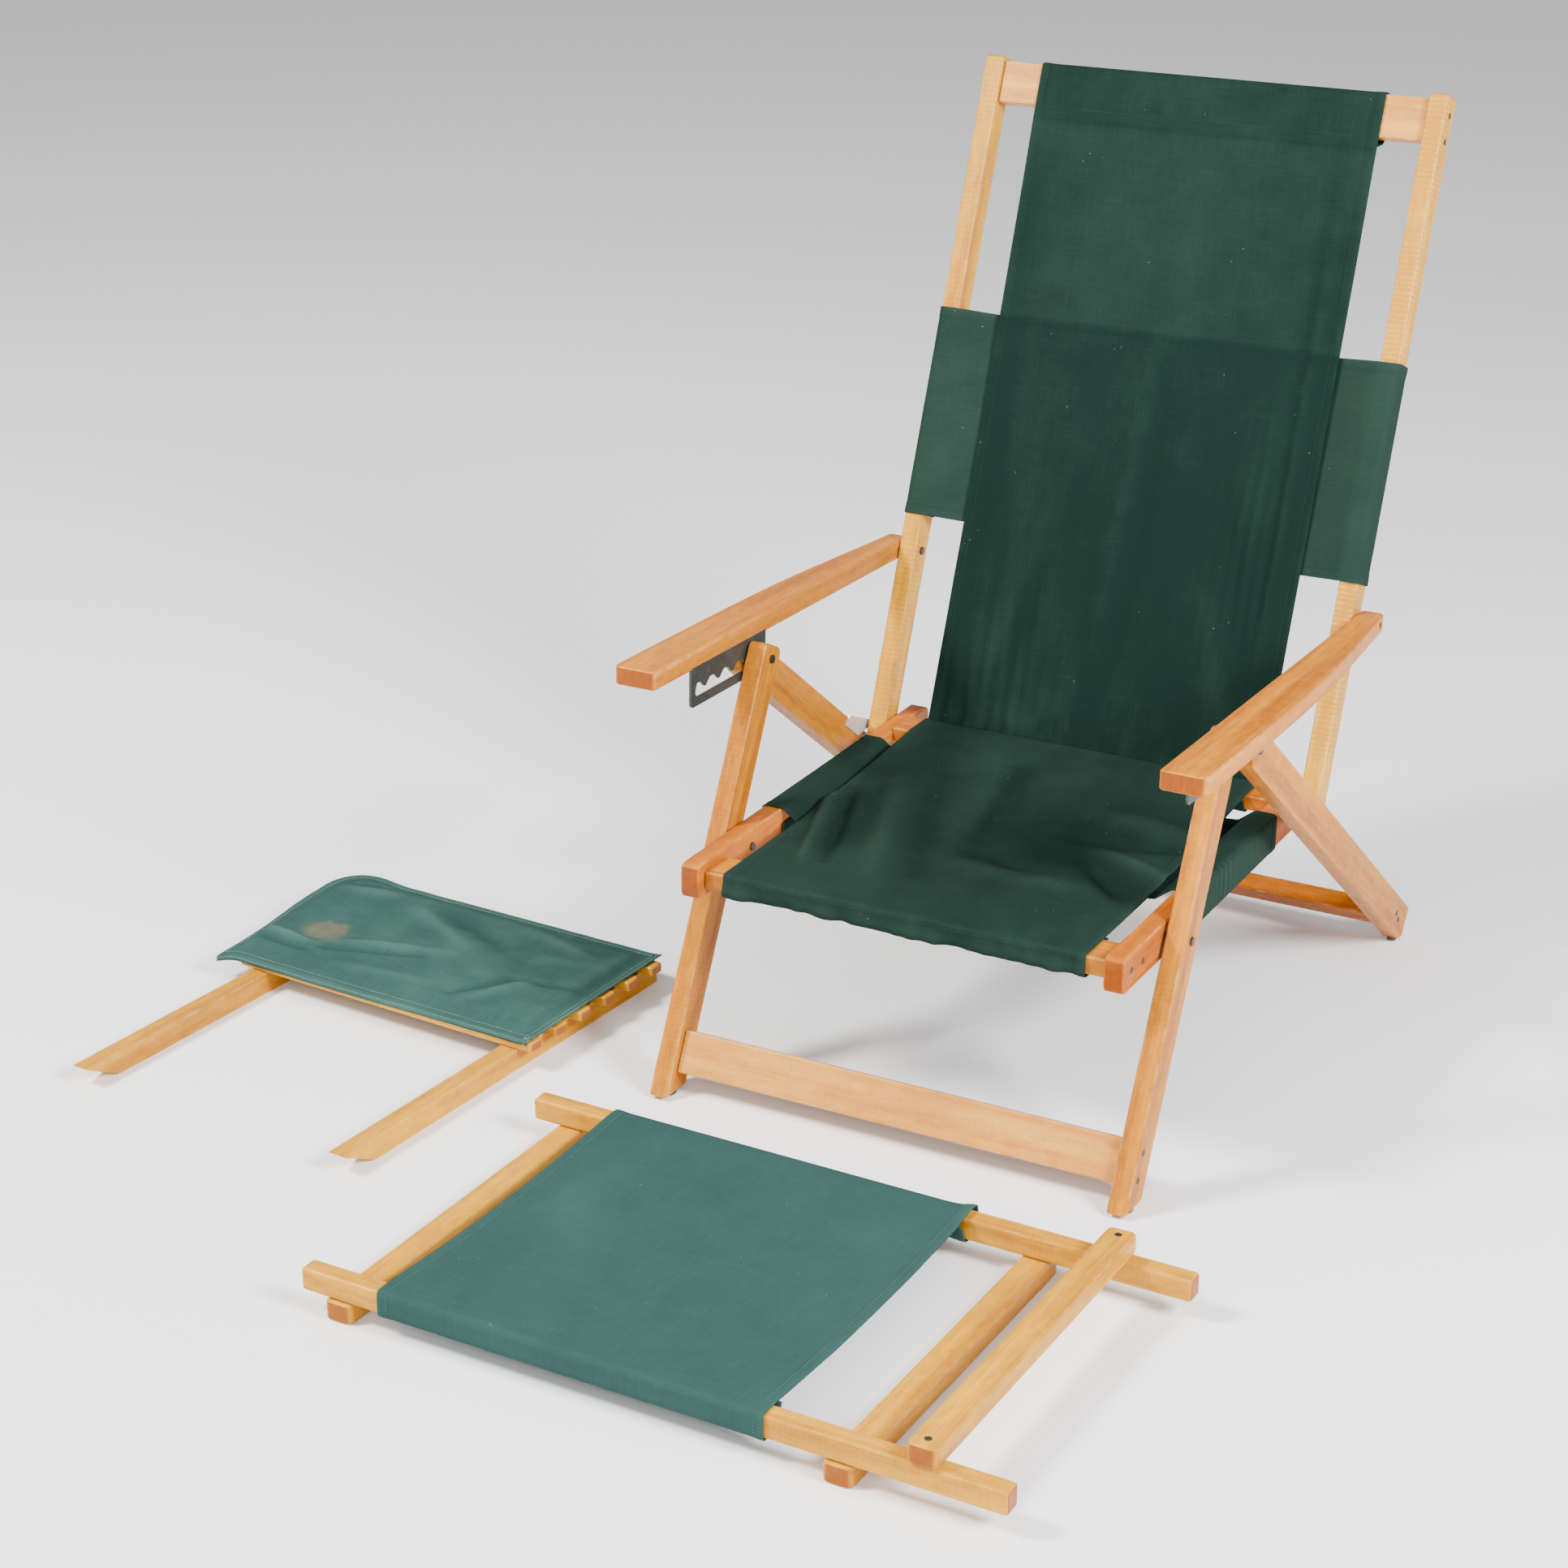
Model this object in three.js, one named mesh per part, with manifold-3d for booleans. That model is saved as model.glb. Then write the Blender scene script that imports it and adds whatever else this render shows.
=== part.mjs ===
// A folding deck chair of varnished hardwood with canvas slings, a loose leg
// rest that lies before it and a slatted foot panel with a pad beside it.
// Millimetres, +Z up. X runs across the chair and its front faces -Y. Each
// piece is drawn about the floor point under the chair's centre plane, and the
// finished set is centred over the origin.

import * as THREE from 'three';
import { mergeVertices } from 'three/addons/utils/BufferGeometryUtils.js';
import Module from 'manifold-3d';

// Stance, seen from the side
const frontFootY = -69.6;
const frontLegLeanDegrees = 26.5;
const seatLineHeight = 255.5;
const notchPinAboveSeatLine = 185;
const backPivotY = 445;
const backLeanDegrees = 21;
const armPivotAlongPost = 220;
const postLengthAbovePivot = 812;
const rearFootLineY = 742.5;

// Timber sections
const boardThickness = 22;
const seatRailHeight = 40;
const seatRailNoseY = -60;
const seatRailTailY = 500;
const seatRailNoseRadius = 9;
const frontLegWidth = 38.5;
const frontLegHeadReach = 15.5;
const frontLegHeadRadius = 9;
const postWidth = 32.3;
const postTopRadius = 5;
const rearLegWidth = 42.8;
const rearLegHeadSetback = 4;
const rearLegTipHeight = 0.5;
const edgeEase = 1.5;
const slatCornerRadius = 3;

// Layers across the chair, counted from the centre plane
const seatRailOuterX = 256;
const bandGap = 4;
const plateGap = 2;
const rearLegGap = 1.9;
const armGap = 1.5;

// Cross pieces
const seatFrontRailWidth = 47;
const seatFrontRailThickness = 20.5;
const seatFrontRailY = -47.5;
const seatRearRailWidth = 42;
const seatRearRailThickness = 18;
const seatRearRailRearY = 443;
const seatRearRailRise = 5;
const frontStretcherWidth = 47.7;
const frontStretcherThickness = 20;
const frontStretcherAlongLeg = 50;
const rearStretcherWidth = 47;
const rearStretcherThickness = 22;
const rearStretcherFromFootLine = 70;
const topRailWidth = 49;
const topRailThickness = 20;
const topRailDrop = 5;

// Armrests
const armThickness = 20.7;
const armFrontLength = 587;
const armTailLength = 16;
const armFrontWidth = 50.5;
const armMidWidth = 44;
const armTailWidth = 27;
const armNoseInnerRadius = 6;
const armNoseOuterRadius = 9;
const armTailCornerRadius = 6;

// Notched plates under the armrests
const plateThickness = 2.5;
const plateFlangeWidth = 15;
const plateFrontFromPin = 136;
const plateTailFromPin = 30;
const plateWindowFrontMargin = 10;
const plateWindowTailMargin = 16;
const plateBarHeight = 10;
const plateCornerRadius = 7;
const windowCornerRadius = 4;
const notchPitch = 30;
const notchDepth = 7.6;
const notchCount = 5;
const notchTopHalfWidth = 5.5;
const toothTipHalfWidth = 1.6;
const slideRoom = 17.4;
const pinBelowArmUnderside = 20.3;

// Hook plates on the rear legs
const hookPlateThickness = 2.5;
const hookMouthSlopeDegrees = 42;
const hookFingerWidth = 9;
const hookReach = 62;
const hookTailLength = 26;
const hookLowerReachShare = 0.337;
const hookUpperReachShare = 1.5;
const hookScrewRadius = 2.2;

// Bolts, washers and glides
const boltRadius = 3;
const boltClearance = 0.3;
const boltHeadRadius = 4.8;
const boltHeadHeight = 1.8;
const counterboreRadius = 5.3;
const counterboreDepth = 6;
const glideHeight = 4.6;
const frontGlideRadius = 10;
const rearGlideRadius = 6;
const restGap = 0.3;

// Canvas
const clothThickness = 1.5;
const slingHalfWidth = 210;
const slingHemBehindRail = 9;
const seatSlingSag = 5;
const seatBandFrontY = 125;
const seatBandRearY = 371;
const seatBandDip = 14.4;
const bandInnerTurn = 24;
const bandDipOutset = 4;
const backSlingFoot = 20;
const backSlingFootForward = 4.5;
const backSlingBelly = 4;
const backBandLow = 262;
const backBandHigh = 510;
const backBandDip = 16.2;

// Leg rest, which lies on the floor in front
const legRestX = -343;
const legRestY = -203.5;
const legRestTurnDegrees = -1.13;
const legRestRailLength = 755.5;
const legRestRailWidth = 22;
const legRestRailHeight = 25;
const legRestRailSpacing = 402.6;
const crossbarThickness = 21.7;
const crossbarWidth = 31;
const crossbarOverhang = 3;
const crossbarAlong = 44;
const crossbarMidFromEnd = 165.5;
const crossbarTopFromEnd = 82.5;
const legRestEase = 3.5;
const legRestRailCornerRadius = 5;
const crossbarCornerRadius = 8;
const legRestSlingStart = 92;
const legRestSlingLength = 423;
const legRestSlingSag = 7;

// Foot panel, which lies on the floor at the side
const footPanelX = -854.4;
const footPanelY = -368.8;
const footPanelTurnDegrees = -4.23;
const footRailLength = 570;
const footRailWidth = 22;
const footRailHeight = 25;
const footRailSpacing = 365.7;
const footRailMitre = 50;
const slatCount = 6;
const slatFirstAlong = 308;
const slatPitch = 47;
const slatWidth = 22;
const slatThickness = 11.5;
const slatOverhang = 20;
const slatEndRadius = 5;
const padLength = 458;
const padWidth = 261;
const padThickness = 5;
const padStart = 298;
const padOverhang = 54;
const padEdgeDroop = 8;
const padTurnDegrees = 1.1;
const padCrown = 1.6;

// Facet counts
const arcSteps = 6;
const easeSteps = 3;
const roundSteps = 20;
const sagSteps = 8;

// Colours, roughness and metalness
const timber = { color: 0xd9a766, roughness: 0.38, metalness: 0 };
const warmTimber = { color: 0xcb8646, roughness: 0.36, metalness: 0 };
const darkCanvas = { color: 0x24463a, roughness: 0.92, metalness: 0 };
const fadedCanvas = { color: 0x4c7a70, roughness: 0.94, metalness: 0 };
const zincSteel = { color: 0x9a9d9e, roughness: 0.42, metalness: 0.9 };
const darkBolt = { color: 0x3a352f, roughness: 0.4, metalness: 0.85 };
const glideBlack = { color: 0x2b2622, roughness: 0.6, metalness: 0 };

const wasm = await Module();
wasm.setup();

const chair = new THREE.Group();
const radians = THREE.MathUtils.degToRad;

// Layer positions that follow from the named sizes
const seatRailInnerX = seatRailOuterX - boardThickness;
const legInnerX = seatRailOuterX + bandGap;
const legOuterX = legInnerX + boardThickness;
const plateInnerX = legOuterX + plateGap;
const rearLegInnerX = plateInnerX + plateThickness + rearLegGap;
const rearLegOuterX = rearLegInnerX + boardThickness;
const armInnerX = legOuterX + armGap;

// Side view points, each as y and z
const frontLegLean = radians(frontLegLeanDegrees);
const backLean = radians(backLeanDegrees);
const frontFoot = new THREE.Vector2(frontFootY, 0);
const frontLegDirection = new THREE.Vector2(Math.sin(frontLegLean), Math.cos(frontLegLean));
const postDirection = new THREE.Vector2(Math.sin(backLean), Math.cos(backLean));
const legPivot = pointAlong(frontFoot, frontLegDirection, seatLineHeight / Math.cos(frontLegLean), 0);
const notchPinHeight = seatLineHeight + notchPinAboveSeatLine;
const notchPin = pointAlong(frontFoot, frontLegDirection, notchPinHeight / Math.cos(frontLegLean), 0);
const backPivot = new THREE.Vector2(backPivotY, seatLineHeight);
const armPivot = pointAlong(backPivot, postDirection, armPivotAlongPost, 0);
const rearFootLine = new THREE.Vector2(rearFootLineY, 0);
const rearLegDirection = rearFootLine.clone().sub(notchPin).normalize();
const rearLegLength = rearFootLine.distanceTo(notchPin);

// The armrest's slope puts the notch pin at its depth below the board
const pinBelowArmLine = pinBelowArmUnderside + armThickness / 2;
const pinToArmPivot = notchPin.distanceTo(armPivot);
const pinLineFall = Math.atan2(armPivot.y - notchPin.y, armPivot.x - notchPin.x);
const armRise = Math.asin(pinBelowArmLine / pinToArmPivot) - pinLineFall;
const pinAlongArm = Math.sqrt(pinToArmPivot ** 2 - pinBelowArmLine ** 2);

// A point at a distance along a direction and an offset to its left
function pointAlong(start, direction, distance, offset) {
  const x = start.x + direction.x * distance - direction.y * offset;
  const y = start.y + direction.y * distance + direction.x * offset;
  return new THREE.Vector2(x, y);
}

function addPiece(parent, name, geometry, look) {
  const mesh = new THREE.Mesh(geometry, new THREE.MeshStandardMaterial(look));
  mesh.name = name;
  parent.add(mesh);
  return mesh;
}

// Turns an outline drawn in y and z into a board that is as thick as told,
// with its inner face at the given distance from the centre plane
function sideBoard(outline, innerX, thickness, side, ease) {
  const geometry = extrude(outline, thickness, ease);
  const toSide = new THREE.Matrix4().makeBasis(
    new THREE.Vector3(0, 1, 0),
    new THREE.Vector3(0, 0, 1),
    new THREE.Vector3(1, 0, 0)
  );
  geometry.applyMatrix4(toSide);
  const startX = side > 0 ? innerX : -innerX - thickness;
  geometry.translate(startX, 0, 0);
  return geometry;
}

// An extrusion of exact thickness and outline, with eased edges where told
function extrude(outline, thickness, ease) {
  const geometry = new THREE.ExtrudeGeometry(outline, {
    depth: thickness - ease * 2,
    bevelEnabled: ease > 0,
    bevelThickness: ease,
    bevelSize: ease,
    bevelOffset: -ease,
    bevelSegments: ease > edgeEase ? easeSteps : 1,
    curveSegments: arcSteps,
    steps: 1
  });
  geometry.translate(0, 0, ease);
  return geometry;
}

function roundHole(outline, centre, radius) {
  const rim = [];
  for (let step = 0; step < roundSteps; step += 1) {
    const turn = Math.PI * 2 * step / roundSteps;
    rim.push(new THREE.Vector2(centre.x + radius * Math.cos(turn), centre.y + radius * Math.sin(turn)));
  }
  outline.holes.push(new THREE.Path(rim));
}

// A closed outline through points, each corner rounded by its own radius
function roundedOutline(corners) {
  const outline = new THREE.Shape();
  const count = corners.length;
  corners.forEach(([point, radius], index) => {
    const before = corners[(index + count - 1) % count][0];
    const after = corners[(index + 1) % count][0];
    const toBefore = before.clone().sub(point).normalize();
    const toAfter = after.clone().sub(point).normalize();
    const enter = point.clone().addScaledVector(toBefore, radius);
    const leave = point.clone().addScaledVector(toAfter, radius);
    if (index === 0) outline.moveTo(enter.x, enter.y);
    else outline.lineTo(enter.x, enter.y);
    if (radius > 0) outline.quadraticCurveTo(point.x, point.y, leave.x, leave.y);
  });
  outline.closePath();
  return outline;
}

function rectangle(lowX, lowY, highX, highY, radius) {
  return roundedOutline([
    [new THREE.Vector2(lowX, lowY), radius],
    [new THREE.Vector2(highX, lowY), radius],
    [new THREE.Vector2(highX, highY), radius],
    [new THREE.Vector2(lowX, highY), radius]
  ]);
}

// A strip of cloth along a centre line, as a closed outline
function clothOutline(line, thickness) {
  const left = [];
  const right = [];
  line.forEach((point, index) => {
    const before = line[Math.max(index - 1, 0)];
    const after = line[Math.min(index + 1, line.length - 1)];
    const inward = point === before ? after.clone().sub(point) : point.clone().sub(before);
    const outward = point === after ? inward.clone() : after.clone().sub(point);
    inward.normalize();
    outward.normalize();
    const normal = new THREE.Vector2(-inward.y - outward.y, inward.x + outward.x).normalize();
    const stretch = Math.max(normal.dot(new THREE.Vector2(-inward.y, inward.x)), 1 / 2);
    const reach = thickness / 2 / stretch;
    left.push(point.clone().addScaledVector(normal, reach));
    right.push(point.clone().addScaledVector(normal, -reach));
  });
  return new THREE.Shape(left.concat(right.reverse()));
}

// Points on a sagging stretch between two ends, the ends left out
function sagBetween(start, end, sag) {
  const points = [];
  const across = end.clone().sub(start).normalize();
  for (let step = 1; step < sagSteps; step += 1) {
    const share = step / sagSteps;
    const drop = -4 * sag * share * (1 - share);
    const point = start.clone().lerp(end, share);
    points.push(new THREE.Vector2(point.x - across.y * drop, point.y + across.x * drop));
  }
  return points;
}

function toSolid(geometry) {
  const bare = geometry.clone();
  bare.deleteAttribute('normal');
  bare.deleteAttribute('uv');
  const merged = mergeVertices(bare);
  return new wasm.Manifold(new wasm.Mesh({
    numProp: 3,
    vertProperties: new Float32Array(merged.attributes.position.array),
    triVerts: new Uint32Array(merged.index.array)
  }));
}

function toGeometry(solid) {
  const mesh = solid.getMesh();
  const geometry = new THREE.BufferGeometry();
  geometry.setAttribute('position', new THREE.BufferAttribute(mesh.vertProperties, mesh.numProp));
  geometry.setIndex(new THREE.BufferAttribute(mesh.triVerts, 1));
  return geometry;
}

// A round bolt along X from one face to another, with a low head at each end
// that has one
function bolt(centre, startX, endX, headAtStart, headAtEnd) {
  const profile = [];
  const headStart = headAtStart ? startX - boltHeadHeight : startX;
  const headEnd = headAtEnd ? endX + boltHeadHeight : endX;
  profile.push(new THREE.Vector2(0, headStart));
  if (headAtStart) {
    profile.push(new THREE.Vector2(boltHeadRadius, headStart));
    profile.push(new THREE.Vector2(boltHeadRadius, startX));
  }
  profile.push(new THREE.Vector2(boltRadius, startX));
  profile.push(new THREE.Vector2(boltRadius, endX));
  if (headAtEnd) {
    profile.push(new THREE.Vector2(boltHeadRadius, endX));
    profile.push(new THREE.Vector2(boltHeadRadius, headEnd));
  }
  profile.push(new THREE.Vector2(0, headEnd));
  const clean = profile.filter((point, index) => index === 0 || !point.equals(profile[index - 1]));
  const geometry = new THREE.LatheGeometry(clean, roundSteps);
  geometry.rotateZ(-Math.PI / 2);
  geometry.translate(0, centre.x, centre.y);
  return geometry;
}

function mirrored(geometry, side) {
  if (side > 0) return geometry;
  const flipped = geometry.index ? geometry.toNonIndexed() : geometry;
  flipped.scale(-1, 1, 1);
  const position = flipped.attributes.position;
  const corner = new THREE.Vector3();
  const other = new THREE.Vector3();
  for (let index = 0; index < position.count; index += 3) {
    corner.fromBufferAttribute(position, index);
    other.fromBufferAttribute(position, index + 1);
    position.setXYZ(index, other.x, other.y, other.z);
    position.setXYZ(index + 1, corner.x, corner.y, corner.z);
  }
  return flipped;
}

const boltHoleRadius = boltRadius + boltClearance;
const sides = [['left', -1], ['right', 1]];

// Seat frame
function seatRail(side) {
  const low = seatLineHeight - seatRailHeight / 2;
  const high = seatLineHeight + seatRailHeight / 2;
  const outline = rectangle(seatRailNoseY, low, seatRailTailY, high, seatRailNoseRadius);
  roundHole(outline, legPivot, boltHoleRadius);
  roundHole(outline, backPivot, boltHoleRadius);
  return sideBoard(outline, seatRailInnerX, boardThickness, side, edgeEase);
}

const seatFrontRailTop = seatLineHeight + seatFrontRailThickness / 2;
const seatRearRailTop = seatLineHeight + seatRailHeight / 2 + seatRearRailRise;
const seatRearRailBottom = seatRearRailTop - seatRearRailThickness;
const seatCrossHalfLength = seatRailInnerX - restGap;

function crossRail(outline, halfLength) {
  return sideBoard(outline, -halfLength, halfLength * 2, 1, edgeEase);
}

function seatFrontRail() {
  const bottom = seatFrontRailTop - seatFrontRailThickness;
  const rear = seatFrontRailY + seatFrontRailWidth;
  const outline = rectangle(seatFrontRailY, bottom, rear, seatFrontRailTop, slatCornerRadius);
  return crossRail(outline, seatCrossHalfLength);
}

function seatRearRail() {
  const front = seatRearRailRearY - seatRearRailWidth;
  const outline = rectangle(front, seatRearRailBottom, seatRearRailRearY, seatRearRailTop, slatCornerRadius);
  return crossRail(outline, seatCrossHalfLength);
}

// The seat sling: hemmed round the front rail, slack between the rails and
// hemmed round the rear rail
const clothOffset = restGap + clothThickness / 2;

function seatSling() {
  const bottom = seatFrontRailTop - seatFrontRailThickness - clothOffset;
  const top = seatFrontRailTop + clothOffset;
  const front = seatFrontRailY - clothOffset;
  const rear = seatFrontRailY + seatFrontRailWidth + slingHemBehindRail;
  const rearTop = seatRearRailTop + clothOffset;
  const rearBottom = seatRearRailBottom - clothOffset;
  const rearFront = seatRearRailRearY - seatRearRailWidth - slingHemBehindRail;
  const rearEdge = seatRearRailRearY + clothOffset;
  const hemGap = clothThickness + restGap;
  const start = new THREE.Vector2(rear - slingHemBehindRail, top);
  const end = new THREE.Vector2(rearFront + slingHemBehindRail, rearTop);
  const line = [
    new THREE.Vector2(rear, top - hemGap * 2),
    new THREE.Vector2(rear - slingHemBehindRail + clothOffset * 2, bottom),
    new THREE.Vector2(front + clothThickness, bottom),
    new THREE.Vector2(front, bottom + clothThickness),
    new THREE.Vector2(front, top - clothThickness),
    new THREE.Vector2(front + clothThickness, top),
    start,
    ...sagBetween(start, end, seatSlingSag),
    end,
    new THREE.Vector2(rearEdge - clothThickness, rearTop),
    new THREE.Vector2(rearEdge, rearTop - clothThickness),
    new THREE.Vector2(rearEdge, rearBottom + clothThickness),
    new THREE.Vector2(rearEdge - clothThickness, rearBottom),
    new THREE.Vector2(rearFront + slingHemBehindRail - clothOffset * 2, rearBottom),
    new THREE.Vector2(rearFront, rearTop - hemGap * 2)
  ];
  const outline = clothOutline(line, clothThickness);
  return sideBoard(outline, -slingHalfWidth, slingHalfWidth * 2, 1, 0);
}

// Half of a band's section: from the dip under the sling to the turn inside
// the rail, in distance from the centre plane and height above the face
function bandHalf(innerX, outerX, face, underside, dip) {
  const out = outerX + clothOffset;
  const inn = innerX - clothOffset;
  const top = face + clothOffset;
  const low = underside - clothOffset;
  return [
    new THREE.Vector2(slingHalfWidth + bandDipOutset, top - dip),
    new THREE.Vector2(innerX - clothThickness, top),
    new THREE.Vector2(out - clothThickness, top),
    new THREE.Vector2(out, top - clothThickness),
    new THREE.Vector2(out, low + clothThickness),
    new THREE.Vector2(out - clothThickness, low),
    new THREE.Vector2(inn + clothThickness, low),
    new THREE.Vector2(inn, low + clothThickness),
    new THREE.Vector2(inn, low + bandInnerTurn)
  ];
}

function bandOutline(half) {
  const other = half.map((point) => new THREE.Vector2(-point.x, point.y));
  return clothOutline(other.reverse().concat(half), clothThickness);
}

function seatBand() {
  const face = seatLineHeight + seatRailHeight / 2;
  const half = bandHalf(seatRailInnerX, seatRailOuterX, face, face - seatRailHeight, seatBandDip);
  const geometry = extrude(bandOutline(half), seatBandRearY - seatBandFrontY, 0);
  const stand = new THREE.Matrix4().makeBasis(
    new THREE.Vector3(1, 0, 0),
    new THREE.Vector3(0, 0, 1),
    new THREE.Vector3(0, -1, 0)
  );
  geometry.applyMatrix4(stand);
  geometry.translate(0, seatBandRearY, 0);
  return geometry;
}

// Front legs
const frontLegFootHeight = glideHeight + restGap;

function atHeight(start, direction, offset, height) {
  const foot = pointAlong(start, direction, 0, offset);
  return pointAlong(foot, direction, (height - foot.y) / direction.y, 0);
}

function roundHead(outline, centre, direction, radius) {
  const turn = Math.atan2(direction.y, direction.x);
  outline.absarc(centre.x, centre.y, radius, turn + Math.PI / 2, turn - Math.PI / 2, true);
}

function frontLeg(side) {
  const half = frontLegWidth / 2;
  const rearToe = atHeight(frontFoot, frontLegDirection, -half, frontLegFootHeight);
  const frontToe = atHeight(frontFoot, frontLegDirection, half, frontLegFootHeight);
  const outline = new THREE.Shape();
  outline.moveTo(rearToe.x, rearToe.y);
  outline.lineTo(frontToe.x, frontToe.y);
  const round = frontLegHeadRadius;
  const frontCorner = pointAlong(notchPin, frontLegDirection, frontLegHeadReach, half);
  const rearCorner = pointAlong(notchPin, frontLegDirection, frontLegHeadReach, -half);
  const frontIn = pointAlong(frontCorner, frontLegDirection, -round, 0);
  const frontOn = pointAlong(frontCorner, frontLegDirection, 0, -round);
  const rearOn = pointAlong(rearCorner, frontLegDirection, 0, round);
  const rearIn = pointAlong(rearCorner, frontLegDirection, -round, 0);
  outline.lineTo(frontIn.x, frontIn.y);
  outline.quadraticCurveTo(frontCorner.x, frontCorner.y, frontOn.x, frontOn.y);
  outline.lineTo(rearOn.x, rearOn.y);
  outline.quadraticCurveTo(rearCorner.x, rearCorner.y, rearIn.x, rearIn.y);
  outline.closePath();
  roundHole(outline, legPivot, boltHoleRadius);
  roundHole(outline, notchPin, boltHoleRadius);
  return sideBoard(outline, legInnerX, boardThickness, side, edgeEase);
}

// A slat across the chair, centred at a point on a leg or post
function crossSlat(start, direction, distance, width, thickness, halfLength) {
  const near = distance - width / 2;
  const far = distance + width / 2;
  const outline = roundedOutline([
    [pointAlong(start, direction, near, -thickness / 2), slatCornerRadius],
    [pointAlong(start, direction, far, -thickness / 2), slatCornerRadius],
    [pointAlong(start, direction, far, thickness / 2), slatCornerRadius],
    [pointAlong(start, direction, near, thickness / 2), slatCornerRadius]
  ]);
  return crossRail(outline, halfLength);
}

function glide(radius, side, centreX, centreY) {
  const rim = edgeEase;
  const geometry = new THREE.LatheGeometry([
    new THREE.Vector2(0, 0),
    new THREE.Vector2(radius - rim, 0),
    new THREE.Vector2(radius, rim),
    new THREE.Vector2(radius, glideHeight),
    new THREE.Vector2(0, glideHeight)
  ], roundSteps);
  geometry.rotateX(Math.PI / 2);
  geometry.translate(side * centreX, centreY, 0);
  return geometry;
}

// Back
function backPost(side) {
  const half = postWidth / 2;
  const outline = new THREE.Shape();
  const rearTop = pointAlong(backPivot, postDirection, postLengthAbovePivot, -half);
  const frontTop = pointAlong(backPivot, postDirection, postLengthAbovePivot, half);
  const across = frontTop.clone().sub(rearTop).normalize();
  const rearIn = rearTop.clone().addScaledVector(postDirection, -postTopRadius);
  const rearOn = rearTop.clone().addScaledVector(across, postTopRadius);
  const frontOn = frontTop.clone().addScaledVector(across, -postTopRadius);
  const frontIn = frontTop.clone().addScaledVector(postDirection, -postTopRadius);
  outline.moveTo(frontIn.x, frontIn.y);
  outline.quadraticCurveTo(frontTop.x, frontTop.y, frontOn.x, frontOn.y);
  outline.lineTo(rearOn.x, rearOn.y);
  outline.quadraticCurveTo(rearTop.x, rearTop.y, rearIn.x, rearIn.y);
  roundHead(outline, backPivot, postDirection.clone().negate(), half);
  outline.closePath();
  roundHole(outline, backPivot, boltHoleRadius);
  roundHole(outline, armPivot, boltHoleRadius);
  return sideBoard(outline, legInnerX, boardThickness, side, edgeEase);
}

const topRailCentre = postLengthAbovePivot - topRailDrop - topRailWidth / 2;
const backCrossHalfLength = legInnerX - restGap;

// Distance along the post and forward of its centre line
function onPost(distance, forward) {
  return pointAlong(backPivot, postDirection, distance, forward);
}

function backSling() {
  const face = topRailThickness / 2 + clothOffset;
  const high = topRailCentre + topRailWidth / 2 + clothOffset;
  const low = topRailCentre - topRailWidth / 2 - slingHemBehindRail;
  const top = onPost(low + slingHemBehindRail, face);
  const foot = onPost(backSlingFoot, backSlingFootForward);
  const line = [
    foot,
    ...sagBetween(foot, top, -backSlingBelly),
    top,
    onPost(high - clothThickness, face),
    onPost(high, face - clothThickness),
    onPost(high, -face + clothThickness),
    onPost(high - clothThickness, -face),
    onPost(low + slingHemBehindRail - clothOffset * 2, -face),
    onPost(low, face - clothOffset * 3)
  ];
  const outline = clothOutline(line, clothThickness);
  return sideBoard(outline, -slingHalfWidth, slingHalfWidth * 2, 1, 0);
}

function backBand() {
  const face = postWidth / 2;
  const half = bandHalf(legInnerX, legOuterX, face, -face, backBandDip);
  const geometry = extrude(bandOutline(half), backBandHigh - backBandLow, 0);
  const stand = new THREE.Matrix4().makeBasis(
    new THREE.Vector3(1, 0, 0),
    new THREE.Vector3(0, -postDirection.y, postDirection.x),
    new THREE.Vector3(0, -postDirection.x, -postDirection.y)
  );
  geometry.applyMatrix4(stand);
  const start = onPost(backBandHigh, 0);
  geometry.translate(0, start.x, start.y);
  return geometry;
}

// Rear legs
const rearHead = pointAlong(notchPin, rearLegDirection, rearLegHeadSetback, 0);
const rearCornerDrop = rearLegWidth / 2 * rearLegDirection.x;
const rearLegEnd = (notchPin.y - rearCornerDrop - rearLegTipHeight) / -rearLegDirection.y;

function rearLeg(side) {
  const half = rearLegWidth / 2;
  const floorCut = glideHeight + restGap;
  const upper = pointAlong(notchPin, rearLegDirection, rearLegEnd, half);
  const tip = pointAlong(notchPin, rearLegDirection, rearLegEnd, -half);
  const onEdge = atHeight(notchPin, rearLegDirection, -half, floorCut);
  const endDirection = upper.clone().sub(tip).normalize();
  const onEnd = pointAlong(tip, endDirection, (floorCut - tip.y) / endDirection.y, 0);
  const outline = new THREE.Shape();
  outline.moveTo(upper.x, upper.y);
  outline.lineTo(onEnd.x, onEnd.y);
  outline.lineTo(onEdge.x, onEdge.y);
  roundHead(outline, rearHead, rearLegDirection.clone().negate(), half);
  outline.closePath();
  roundHole(outline, notchPin, boltHoleRadius);
  return sideBoard(outline, rearLegInnerX, boardThickness, side, edgeEase);
}

function rearGlideY() {
  const half = rearLegWidth / 2;
  const floorCut = glideHeight + restGap;
  const tip = pointAlong(notchPin, rearLegDirection, rearLegEnd, -half);
  const onEdge = atHeight(notchPin, rearLegDirection, -half, floorCut);
  const endDirection = new THREE.Vector2(-rearLegDirection.y, rearLegDirection.x);
  const onEnd = pointAlong(tip, endDirection, (floorCut - tip.y) / endDirection.y, 0);
  return (onEdge.x + onEnd.x) / 2;
}

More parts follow.
